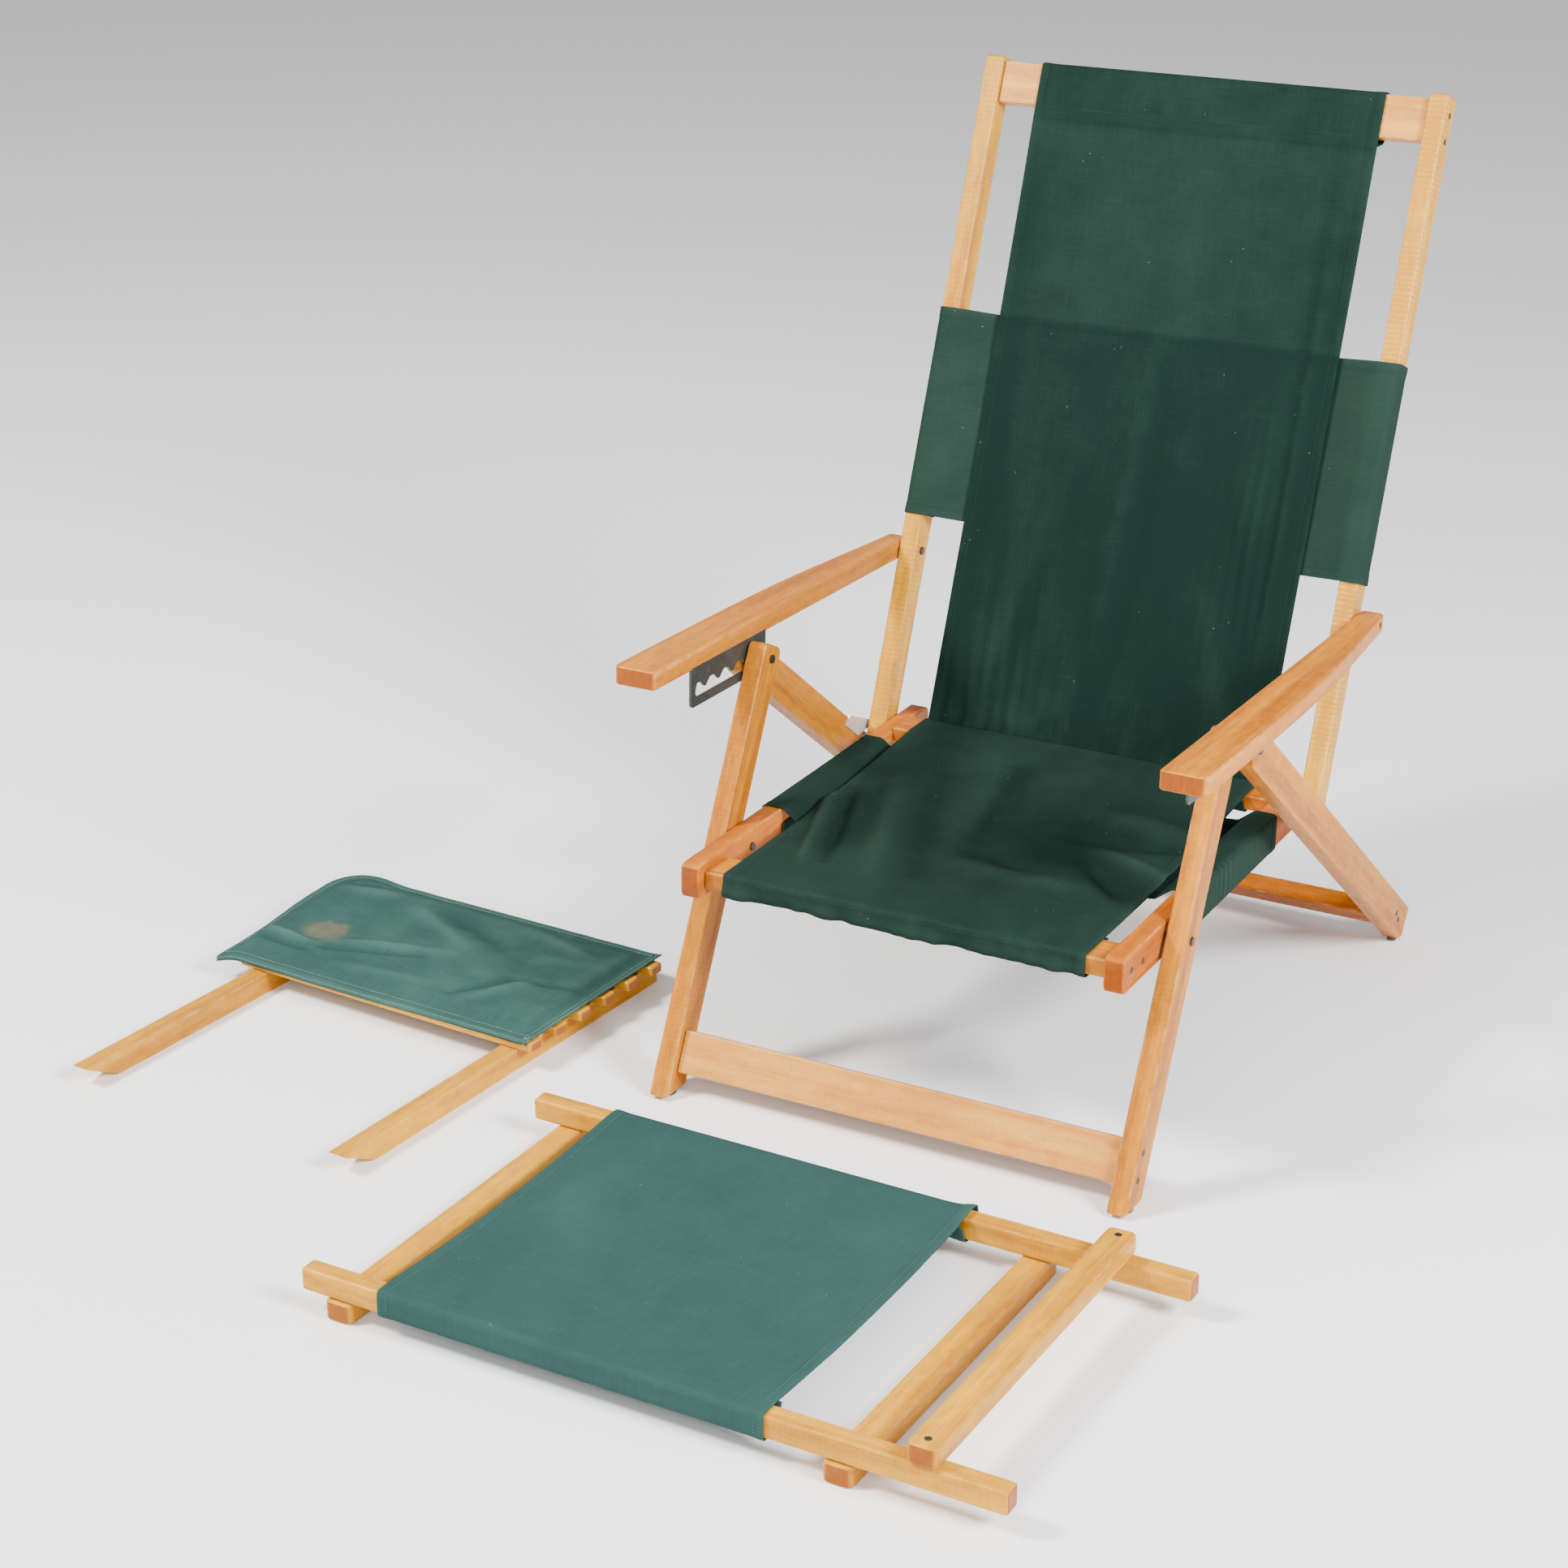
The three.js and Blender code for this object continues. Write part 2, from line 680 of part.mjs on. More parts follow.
// The hook plate catches the seat pivot bolt: two fingers round a slanting
// mouth that is closed behind the bolt
function hookPlate(side) {
  const mouth = boltRadius + boltClearance * 2;
  const slope = radians(hookMouthSlopeDegrees);
  const boltAlong = backPivot.clone().sub(notchPin).dot(rearLegDirection);
  const legNormal = new THREE.Vector2(-rearLegDirection.y, rearLegDirection.x);
  const boltAbove = backPivot.clone().sub(notchPin).dot(legNormal);
  const inward = new THREE.Vector2(-Math.cos(slope), -Math.sin(slope));
  const seat = new THREE.Vector2(boltAlong, boltAbove);
  const upperMouth = pointAlong(seat, inward, hookReach / 2, -mouth);
  const lowerMouth = pointAlong(seat, inward, hookReach / 2 + mouth, mouth);
  const closedEnd = boltAlong + mouth + hookFingerWidth;
  const upperTop = boltAbove + mouth + hookFingerWidth / 2;
  const lowerBottom = -rearLegWidth * hookLowerReachShare;
  const place = (along, above) => pointAlong(notchPin, rearLegDirection, along, above);
  const outline = new THREE.Shape();
  const begin = place(boltAlong - hookReach, upperMouth.y);
  outline.moveTo(begin.x, begin.y);
  const points = [
    place(upperMouth.x, upperMouth.y),
    place(pointAlong(seat, inward, 0, -mouth).x, pointAlong(seat, inward, 0, -mouth).y)
  ];
  const roundStart = slope + Math.PI / 2;
  for (let step = 1; step < arcSteps; step += 1) {
    const turn = roundStart - Math.PI * step / arcSteps;
    points.push(place(seat.x + mouth * Math.cos(turn), seat.y + mouth * Math.sin(turn)));
  }
  const lowStart = pointAlong(seat, inward, 0, mouth);
  points.push(
    place(lowStart.x, lowStart.y),
    place(lowerMouth.x, lowerMouth.y),
    place(lowerMouth.x + hookFingerWidth, lowerBottom),
    place(closedEnd + hookTailLength, lowerBottom),
    place(closedEnd + hookTailLength, lowerBottom + hookFingerWidth),
    place(closedEnd, boltAbove),
    place(closedEnd - hookFingerWidth / 2, upperTop),
    place(boltAlong - hookFingerWidth, upperTop),
    place(boltAlong - hookReach, upperMouth.y + hookFingerWidth * hookUpperReachShare)
  );
  points.forEach((point) => outline.lineTo(point.x, point.y));
  outline.closePath();
  const screwAbove = lowerBottom + hookFingerWidth;
  roundHole(outline, place(lowerMouth.x + hookFingerWidth * 2, screwAbove), hookScrewRadius);
  roundHole(outline, place(closedEnd + hookFingerWidth / 2, screwAbove), hookScrewRadius);
  const innerX = rearLegInnerX - restGap - hookPlateThickness;
  return sideBoard(outline, innerX, hookPlateThickness, side, 0);
}

// Armrests, drawn about their pivot with the board level
const flangeSinkX = plateInnerX + plateFlangeWidth + restGap;

function armBoard() {
  const outline = new THREE.Shape();
  const nose = -armFrontLength;
  const outerFront = armInnerX + armFrontWidth;
  const outerMid = armInnerX + armMidWidth;
  const outerTail = armInnerX + armTailWidth;
  const tail = armTailLength;
  outline.moveTo(armInnerX, tail - armTailCornerRadius);
  outline.lineTo(armInnerX, nose + armNoseInnerRadius);
  outline.quadraticCurveTo(armInnerX, nose, armInnerX + armNoseInnerRadius, nose);
  outline.lineTo(outerFront - armNoseOuterRadius, nose);
  outline.quadraticCurveTo(outerFront, nose, outerFront, nose + armNoseOuterRadius);
  outline.quadraticCurveTo(outerFront, nose / 2, outerMid, nose / 3);
  outline.lineTo(outerTail, tail - armTailCornerRadius);
  outline.quadraticCurveTo(outerTail, tail, outerTail - armTailCornerRadius, tail);
  outline.lineTo(armInnerX + armTailCornerRadius, tail);
  outline.quadraticCurveTo(armInnerX, tail, armInnerX, tail - armTailCornerRadius);
  const geometry = extrude(outline, armThickness, edgeEase);
  geometry.translate(0, 0, -armThickness / 2);
  return geometry;
}

function armrest(side) {
  const holeLength = armFrontWidth * 2;
  const hole = new THREE.CylinderGeometry(boltHoleRadius, boltHoleRadius, holeLength, roundSteps);
  hole.rotateZ(Math.PI / 2);
  hole.translate(armInnerX, 0, 0);
  const boreStart = armInnerX + armTailWidth - counterboreDepth;
  const bore = new THREE.CylinderGeometry(counterboreRadius, counterboreRadius, holeLength, roundSteps);
  bore.rotateZ(Math.PI / 2);
  bore.translate(boreStart + holeLength / 2, 0, 0);
  const sinkLength = plateFrontFromPin + plateTailFromPin + restGap * 2;
  const sinkWidth = flangeSinkX - armInnerX + armGap;
  const sinkDepth = plateThickness + restGap;
  const sink = new THREE.BoxGeometry(sinkWidth, sinkLength, sinkDepth * 2);
  const sinkY = -pinAlongArm - (plateFrontFromPin - plateTailFromPin) / 2;
  sink.translate(flangeSinkX - sinkWidth / 2, sinkY, -armThickness / 2);
  const solid = toSolid(armBoard()).subtract(toSolid(hole)).subtract(toSolid(bore)).subtract(toSolid(sink));
  return mirrored(toGeometry(solid), side);
}

// The plate's window: a straight lower edge, and an upper edge of notches
function plateWindow(pinY, pinZ) {
  const window = new THREE.Path();
  const notchTop = pinZ + boltRadius + restGap;
  const tipLevel = notchTop - notchDepth;
  const floor = notchTop - boltRadius * 2 - slideRoom + notchDepth;
  const tail = pinY + plateWindowTailMargin - windowCornerRadius / 2;
  const front = pinY - plateFrontFromPin + plateWindowFrontMargin;
  const flank = notchPitch / 2 - toothTipHalfWidth;
  const points = [];
  for (let notch = 0; notch < notchCount; notch += 1) {
    const centre = pinY - notchPitch * notch;
    const rearFlank = notch === 0 ? plateWindowTailMargin - windowCornerRadius / 2 : flank;
    const frontFlank = notch === notchCount - 1 ? centre - front : flank;
    const last = notch === notchCount - 1;
    if (notch > 0) points.push(new THREE.Vector2(centre + rearFlank, tipLevel));
    if (notch === 0) points.push(new THREE.Vector2(tail, tipLevel));
    points.push(new THREE.Vector2(centre + notchTopHalfWidth, notchTop - restGap * 2));
    points.push(new THREE.Vector2(centre + notchTopHalfWidth / 2, notchTop));
    points.push(new THREE.Vector2(centre - notchTopHalfWidth / 2, notchTop));
    if (!last) points.push(new THREE.Vector2(centre - notchTopHalfWidth, notchTop - restGap * 2));
    if (!last) points.push(new THREE.Vector2(centre - frontFlank, tipLevel));
  }
  points.push(new THREE.Vector2(front, tipLevel));
  points.push(new THREE.Vector2(front, floor + windowCornerRadius));
  points.push(new THREE.Vector2(front + windowCornerRadius, floor));
  points.push(new THREE.Vector2(tail - windowCornerRadius, floor));
  points.push(new THREE.Vector2(tail, floor + windowCornerRadius));
  window.setFromPoints(points);
  return { window, floor };
}

function notchPlate(side) {
  const pinY = -pinAlongArm;
  const pinZ = -pinBelowArmLine;
  const top = -armThickness / 2;
  const front = pinY - plateFrontFromPin;
  const rear = pinY + plateTailFromPin;
  const { window, floor } = plateWindow(pinY, pinZ);
  const bottom = floor - plateBarHeight;
  const outline = roundedOutline([
    [new THREE.Vector2(front, top), restGap],
    [new THREE.Vector2(front, bottom), plateCornerRadius],
    [new THREE.Vector2(rear, bottom), plateCornerRadius],
    [new THREE.Vector2(rear, top), restGap]
  ]);
  outline.holes.push(window);
  const web = sideBoard(outline, plateInnerX, plateThickness, 1, 0);
  const flangeLength = plateFrontFromPin + plateTailFromPin;
  const flange = new THREE.BoxGeometry(plateFlangeWidth, flangeLength, plateThickness);
  flange.translate(plateInnerX + plateFlangeWidth / 2, (front + rear) / 2, top + plateThickness / 2);
  return mirrored(toGeometry(toSolid(web).add(toSolid(flange))), side);
}

// Leg rest, drawn about the upper rear left corner of its far rail, with the
// rails along X
const legRestRailLow = crossbarThickness + restGap;
const legRestRailTop = legRestRailLow + legRestRailHeight;

function legRestRail(rearY) {
  const radius = legRestRailCornerRadius;
  const outline = rectangle(rearY - legRestRailWidth, legRestRailLow, rearY, legRestRailTop, radius);
  return sideBoard(outline, 0, legRestRailLength, 1, legRestEase);
}

function crossbar(along, low) {
  const near = -legRestRailSpacing - legRestRailWidth - crossbarOverhang;
  const half = crossbarWidth / 2;
  const outline = rectangle(along - half, near, along + half, crossbarOverhang, crossbarCornerRadius);
  const geometry = extrude(outline, crossbarThickness, legRestEase);
  geometry.translate(0, 0, low);
  return geometry;
}

function legRestSling() {
  const far = clothOffset;
  const near = -legRestRailSpacing - legRestRailWidth - clothOffset;
  const top = legRestRailTop + clothOffset;
  const low = legRestRailLow - clothOffset;
  const turn = clothThickness;
  const farInner = -legRestRailWidth - clothOffset;
  const nearInner = -legRestRailSpacing + clothOffset;
  const start = new THREE.Vector2(nearInner, top);
  const end = new THREE.Vector2(farInner, top);
  const line = [
    new THREE.Vector2(nearInner + slingHemBehindRail, top - turn * 3),
    new THREE.Vector2(nearInner, low),
    new THREE.Vector2(near + turn, low),
    new THREE.Vector2(near, low + turn),
    new THREE.Vector2(near, top - turn),
    new THREE.Vector2(near + turn, top),
    start,
    ...sagBetween(start, end, legRestSlingSag),
    end,
    new THREE.Vector2(far - turn, top),
    new THREE.Vector2(far, top - turn),
    new THREE.Vector2(far, low + turn),
    new THREE.Vector2(far - turn, low),
    new THREE.Vector2(farInner, low),
    new THREE.Vector2(farInner - slingHemBehindRail, top - turn * 3)
  ];
  const geometry = sideBoard(clothOutline(line, clothThickness), 0, legRestSlingLength, 1, 0);
  geometry.translate(legRestSlingStart, 0, 0);
  return geometry;
}

// Foot panel, drawn about the tip of its near left rail, with the rails
// running back along Y
function footRail(railX) {
  const outline = roundedOutline([
    [new THREE.Vector2(0, footRailHeight), slatCornerRadius],
    [new THREE.Vector2(footRailMitre, 0), slatCornerRadius],
    [new THREE.Vector2(footRailLength, 0), slatCornerRadius],
    [new THREE.Vector2(footRailLength, footRailHeight), slatCornerRadius]
  ]);
  const geometry = sideBoard(outline, 0, footRailWidth, 1, 0);
  geometry.translate(railX, 0, 0);
  return geometry;
}

function slat(index) {
  const along = slatFirstAlong + slatPitch * index;
  const right = footRailSpacing + footRailWidth + slatOverhang;
  const outline = rectangle(-slatOverhang, along - slatWidth / 2, right, along + slatWidth / 2, slatEndRadius);
  const geometry = extrude(outline, slatThickness, edgeEase);
  geometry.translate(0, 0, footRailHeight + restGap);
  return geometry;
}

// The pad is thin, a little fuller between its edges, and its left edge
// droops past the slats
function pad() {
  const low = footRailHeight + slatThickness + restGap * 2;
  const left = -padOverhang;
  const right = left + padLength;
  const slatsLeft = -slatOverhang - restGap;
  const upper = [];
  const lower = [];
  for (let step = 0; step <= sagSteps; step += 1) {
    const share = step / sagSteps;
    const x = slatsLeft + (right - slatsLeft) * share;
    const swell = padCrown * 4 * share * (1 - share);
    upper.push(new THREE.Vector2(x, low + padThickness + swell));
    lower.unshift(new THREE.Vector2(x, low));
  }
  upper.unshift(new THREE.Vector2(left, low + padThickness - padEdgeDroop));
  lower.push(new THREE.Vector2(left, low - padEdgeDroop));
  const outline = new THREE.Shape(upper.concat(lower));
  const geometry = extrude(outline, padWidth, 0);
  const stand = new THREE.Matrix4().makeBasis(
    new THREE.Vector3(1, 0, 0),
    new THREE.Vector3(0, 0, 1),
    new THREE.Vector3(0, -1, 0)
  );
  geometry.applyMatrix4(stand);
  geometry.translate(0, padWidth, 0);
  geometry.rotateZ(radians(padTurnDegrees));
  geometry.translate(0, padStart, 0);
  return geometry;
}

// Assembly: seat
for (const [word, side] of sides) {
  addPiece(chair, `seat_rail_${word}`, seatRail(side), warmTimber);
  const legBolt = bolt(legPivot, seatRailInnerX - restGap, legOuterX + restGap, true, true);
  addPiece(chair, `leg_pivot_bolt_${word}`, mirrored(legBolt, side), darkBolt);
  const backBoltEnd = rearLegInnerX - restGap;
  const backBolt = bolt(backPivot, seatRailInnerX - restGap, backBoltEnd, true, false);
  addPiece(chair, `back_pivot_bolt_${word}`, mirrored(backBolt, side), darkBolt);
}
addPiece(chair, 'seat_front_rail', seatFrontRail(), timber);
addPiece(chair, 'seat_rear_rail', seatRearRail(), timber);
addPiece(chair, 'seat_sling', seatSling(), darkCanvas);
addPiece(chair, 'seat_band', seatBand(), darkCanvas);

// Assembly: front legs
for (const [word, side] of sides) {
  addPiece(chair, `front_leg_${word}`, frontLeg(side), timber);
  const footCentre = atHeight(frontFoot, frontLegDirection, 0, frontLegFootHeight);
  const legCentreX = (legInnerX + legOuterX) / 2;
  addPiece(chair, `front_glide_${word}`, glide(frontGlideRadius, side, legCentreX, footCentre.x), glideBlack);
  const pinBolt = bolt(notchPin, legInnerX - restGap, rearLegOuterX + restGap, true, true);
  addPiece(chair, `notch_pin_${word}`, mirrored(pinBolt, side), darkBolt);
}
const stretcher = crossSlat(
  frontFoot, frontLegDirection, frontStretcherAlongLeg, frontStretcherWidth,
  frontStretcherThickness, backCrossHalfLength
);
addPiece(chair, 'front_stretcher', stretcher, timber);

// Assembly: back
for (const [word, side] of sides) {
  addPiece(chair, `back_post_${word}`, backPost(side), timber);
}
const topRail = crossSlat(
  backPivot, postDirection, topRailCentre, topRailWidth, topRailThickness, backCrossHalfLength
);
addPiece(chair, 'back_top_rail', topRail, timber);
addPiece(chair, 'back_sling', backSling(), darkCanvas);
addPiece(chair, 'back_band', backBand(), darkCanvas);

// Assembly: rear legs
for (const [word, side] of sides) {
  addPiece(chair, `rear_leg_${word}`, rearLeg(side), timber);
  addPiece(chair, `hook_plate_${word}`, hookPlate(side), zincSteel);
  const legCentreX = (rearLegInnerX + rearLegOuterX) / 2;
  addPiece(chair, `rear_glide_${word}`, glide(rearGlideRadius, side, legCentreX, rearGlideY()), glideBlack);
}
const rearStretcherAlong = rearLegLength - rearStretcherFromFootLine;
const rearStretcher = crossSlat(
  notchPin, rearLegDirection, rearStretcherAlong, rearStretcherWidth,
  rearStretcherThickness, rearLegInnerX - restGap
);
addPiece(chair, 'rear_stretcher', rearStretcher, timber);

// Assembly: armrests, turned to their slope at the pivot
for (const [word, side] of sides) {
  const arm = new THREE.Group();
  arm.position.set(0, armPivot.x, armPivot.y);
  arm.rotation.x = -armRise;
  chair.add(arm);
  addPiece(arm, `armrest_${word}`, armrest(side), warmTimber);
  addPiece(arm, `notch_plate_${word}`, notchPlate(side), zincSteel);
  const boreFloor = armInnerX + armTailWidth - counterboreDepth;
  const origin = new THREE.Vector2(0, 0);
  const armBolt = bolt(origin, legInnerX - restGap, boreFloor + restGap, true, true);
  addPiece(arm, `arm_bolt_${word}`, mirrored(armBolt, side), darkBolt);
}

// Assembly: leg rest
const legRest = new THREE.Group();
legRest.position.set(legRestX, legRestY, 0);
legRest.rotation.z = radians(legRestTurnDegrees);
chair.add(legRest);
addPiece(legRest, 'leg_rest_rail_far', legRestRail(0), timber);
addPiece(legRest, 'leg_rest_rail_near', legRestRail(-legRestRailSpacing), timber);
addPiece(legRest, 'leg_rest_crossbar_head', crossbar(crossbarAlong, 0), timber);
addPiece(legRest, 'leg_rest_crossbar_mid', crossbar(legRestRailLength - crossbarMidFromEnd, 0), timber);
addPiece(legRest, 'leg_rest_crossbar_top', crossbar(legRestRailLength - crossbarTopFromEnd, legRestRailTop + restGap), timber);
addPiece(legRest, 'leg_rest_sling', legRestSling(), fadedCanvas);

// Assembly: foot panel
const footPanel = new THREE.Group();
footPanel.position.set(footPanelX, footPanelY, 0);
footPanel.rotation.z = radians(footPanelTurnDegrees);
chair.add(footPanel);
addPiece(footPanel, 'foot_panel_rail_left', footRail(0), timber);
addPiece(footPanel, 'foot_panel_rail_right', footRail(footRailSpacing), timber);
for (let index = 0; index < slatCount; index += 1) {
  addPiece(footPanel, `foot_panel_slat_${index + 1}`, slat(index), timber);
}
addPiece(footPanel, 'foot_panel_pad', pad(), fadedCanvas);

// The whole set stands over the origin
const extent = new THREE.Box3().setFromObject(chair, true);
const middle = extent.getCenter(new THREE.Vector3());
chair.position.set(-middle.x, -middle.y, -extent.min.z);

export default chair;
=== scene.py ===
import math

import bmesh
import bpy
import numpy as np
from mathutils import Matrix, Vector, noise


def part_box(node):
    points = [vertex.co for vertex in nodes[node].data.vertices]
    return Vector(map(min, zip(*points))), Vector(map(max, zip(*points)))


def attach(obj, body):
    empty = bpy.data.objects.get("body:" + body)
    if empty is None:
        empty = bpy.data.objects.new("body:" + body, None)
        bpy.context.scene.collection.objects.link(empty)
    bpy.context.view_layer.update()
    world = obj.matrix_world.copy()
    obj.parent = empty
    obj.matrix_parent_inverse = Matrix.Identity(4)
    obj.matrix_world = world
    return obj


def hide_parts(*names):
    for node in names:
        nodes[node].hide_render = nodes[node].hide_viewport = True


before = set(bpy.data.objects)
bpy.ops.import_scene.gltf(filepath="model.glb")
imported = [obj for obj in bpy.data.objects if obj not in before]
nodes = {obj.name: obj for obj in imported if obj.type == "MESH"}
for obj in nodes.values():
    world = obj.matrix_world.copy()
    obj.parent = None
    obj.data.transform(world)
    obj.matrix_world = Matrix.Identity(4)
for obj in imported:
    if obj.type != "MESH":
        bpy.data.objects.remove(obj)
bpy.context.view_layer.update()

# ---------------------------------------------------------------- chair sizes
back_lean = math.radians(21)
front_leg_lean = math.radians(26.5)
arm_rise = math.radians(1.574)
rear_leg_way = Vector((0, 0.8025, -0.5966))
cloth_half = 0.00075
cloth_lift = 0.00105
sling_half_width = 0.21
hem_width = 0.012
seam_inset = hem_width - 0.002
fold_radius = 0.003
front_rail_ahead = 0.0475
band_shows_from = 0.2145

across = Vector((1, 0, 0))
rearward = Vector((0, 1, 0))
upward = Vector((0, 0, 1))

# The chair's own origin is the floor point under its centre plane
front_low, front_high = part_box("seat_front_rail")
chair_origin = Vector(((front_low.x + front_high.x) / 2, front_low.y + front_rail_ahead, 0))
post_up = Vector((0, math.sin(back_lean), math.cos(back_lean)))
post_front = Vector((0, -math.cos(back_lean), math.sin(back_lean)))
back_pivot = chair_origin + Vector((0, 0.445, 0.2555))


def laid_out(x, y, degrees):
    """The frame of a loose piece that lies turned on the floor."""
    turn = Matrix.Rotation(math.radians(degrees), 4, "Z")
    return Matrix.Translation(chair_origin + Vector((x, y, 0))) @ turn


def new_object(name, data):
    made = bpy.data.objects.new(name, data)
    bpy.context.scene.collection.objects.link(made)
    return made


leg_rest_frame = laid_out(-0.343, -0.2035, -1.13)
foot_panel_frame = laid_out(-0.8544, -0.3688, -4.23)


# --------------------------------------------------------------- the camera
def place_camera():
    data = bpy.data.cameras.new("camera")
    camera = new_object("camera", data)
    data.sensor_width = 36
    data.lens = 72.94
    data.clip_end = 60
    heading, tilt, roll = (math.radians(angle) for angle in (28.4, 68.04, 0.15))
    turn = Matrix.Rotation(heading, 4, "Z") @ Matrix.Rotation(tilt, 4, "X") @ Matrix.Rotation(roll, 4, "Z")
    stands_at = chair_origin + Vector((1.3237, -2.7492, 1.6238))
    camera.matrix_world = Matrix.Translation(stands_at) @ turn
    bpy.context.scene.camera = camera


# --------------------------------------------------------------- the studio
def soft_light(name, place, aim, size, power, tint=(1, 1, 1)):
    data = bpy.data.lights.new(name, "AREA")
    data.shape = "DISK"
    data.size = size
    data.energy = power
    data.color = tint
    light = new_object(name, data)
    light.location = place
    light.rotation_mode = "QUATERNION"
    light.rotation_quaternion = (Vector(aim) - Vector(place)).to_track_quat("-Z", "Y")


def studio():
    world = bpy.data.worlds.new("studio")
    bpy.context.scene.world = world
    world.use_nodes = True
    sky = world.node_tree.nodes["Background"]
    feed(world.node_tree, sky, {"Color": (0.95, 0.97, 1, 1), "Strength": 0.62})
    soft_light("key", (-2.4, -2.2, 3.5), (0, 0, 0.4), 1.1, 390, (1, 0.985, 0.95))
    soft_light("fill", (3.1, -0.8, 2.3), (0, 0, 0.4), 1.2, 270)
    soft_light("front", (1.6, -4.2, 2.4), (0, 0, 0.3), 2.6, 110)
    mesh = bpy.data.meshes.new("floor")
    shape = bmesh.new()
    bmesh.ops.create_grid(shape, x_segments=1, y_segments=1, size=30)
    shape.to_mesh(mesh)
    shape.free()
    look, tree, shader = blank_look("pale_floor")
    feed(tree, shader, {"Base Color": (0.95, 0.95, 0.95, 1), "Roughness": 0.9})
    mesh.materials.append(look)
    new_object("floor", mesh)


# ------------------------------------------------------- node group helpers
def new_group(name, inputs):
    """A shader node group with named inputs and the three outputs of a finish."""
    group = bpy.data.node_groups.new(name, "ShaderNodeTree")
    for label, kind, value in inputs:
        socket = group.interface.new_socket(name=label, in_out="INPUT", socket_type="NodeSocket" + kind)
        if value is not None:
            socket.default_value = value
    for label, kind in (("Color", "Color"), ("Roughness", "Float"), ("Height", "Float")):
        group.interface.new_socket(name=label, in_out="OUTPUT", socket_type="NodeSocket" + kind)
    return group, group.nodes.new("NodeGroupInput").outputs, group.nodes.new("NodeGroupOutput").inputs


def put_out(group, made, colour, rough, height):
    for socket, value in zip(made, (colour, rough, height)):
        group.links.new(value, socket)


def feed(tree, node, values):
    """Links each value that is a socket into the node's input, and sets the plain ones."""
    for key, value in values.items():
        if isinstance(value, bpy.types.NodeSocket):
            tree.links.new(value, node.inputs[key])
        else:
            node.inputs[key].default_value = value


def add(tree, kind, values=None, **settings):
    """A node with its settings and what its inputs are fed."""
    node = tree.nodes.new("ShaderNode" + kind)
    for key, value in settings.items():
        setattr(node, key, value)
    feed(tree, node, values or {})
    return node


def stretch(tree, vector, amounts):
    return add(tree, "VectorMath", {0: vector, 1: amounts}, operation="MULTIPLY").outputs[0]


def cloud(tree, vector, scale, detail=3.0, roughness=0.5, distortion=0.0):
    return add(tree, "TexNoise", {"Vector": vector, "Scale": scale, "Detail": detail,
                                  "Roughness": roughness, "Distortion": distortion}).outputs["Fac"]


def stripes(tree, vector, scale, distortion, detail, way, detail_scale=1.0):
    values = {"Vector": vector, "Scale": scale, "Distortion": distortion, "Detail": detail,
              "Detail Scale": detail_scale}
    return add(tree, "TexWave", values, bands_direction=way).outputs["Fac"]


def remap(tree, value, low, high, out_low=0.0, out_high=1.0):
    return add(tree, "MapRange", {"Value": value, "From Min": low, "From Max": high,
                                  "To Min": out_low, "To Max": out_high}).outputs["Result"]


def blend_colour(tree, factor, first, second):
    return add(tree, "Mix", {0: factor, 6: first, 7: second}, data_type="RGBA").outputs[2]


def maths(tree, kind, first, second=0.0, clamp=False):
    return add(tree, "Math", {0: first, 1: second}, operation=kind, use_clamp=clamp).outputs[0]


def plus(tree, value, share, other, clamp=False):
    """A value with a share of another one added."""
    return maths(tree, "ADD", value, maths(tree, "MULTIPLY", other, share), clamp)


def tinge(tree, mask, share, colour, second):
    """Lays a second colour over the first where the mask is, up to a share."""
    return blend_colour(tree, maths(tree, "MULTIPLY", mask, share), colour, second)


def waver(tree, tone, noise_value, low, high):
    """Adds an uneven value to a tone, between a low and a high share."""
    return maths(tree, "ADD", tone, remap(tree, noise_value, 0.3, 0.7, low, high))


def linear(red, green, blue):
    """A colour given in the eight-bit steps of a screen, as the shader wants it."""
    def one(step):
        share = step / 255
        return share / 12.92 if share <= 0.04045 else ((share + 0.055) / 1.055) ** 2.4
    return (one(red), one(green), one(blue), 1)


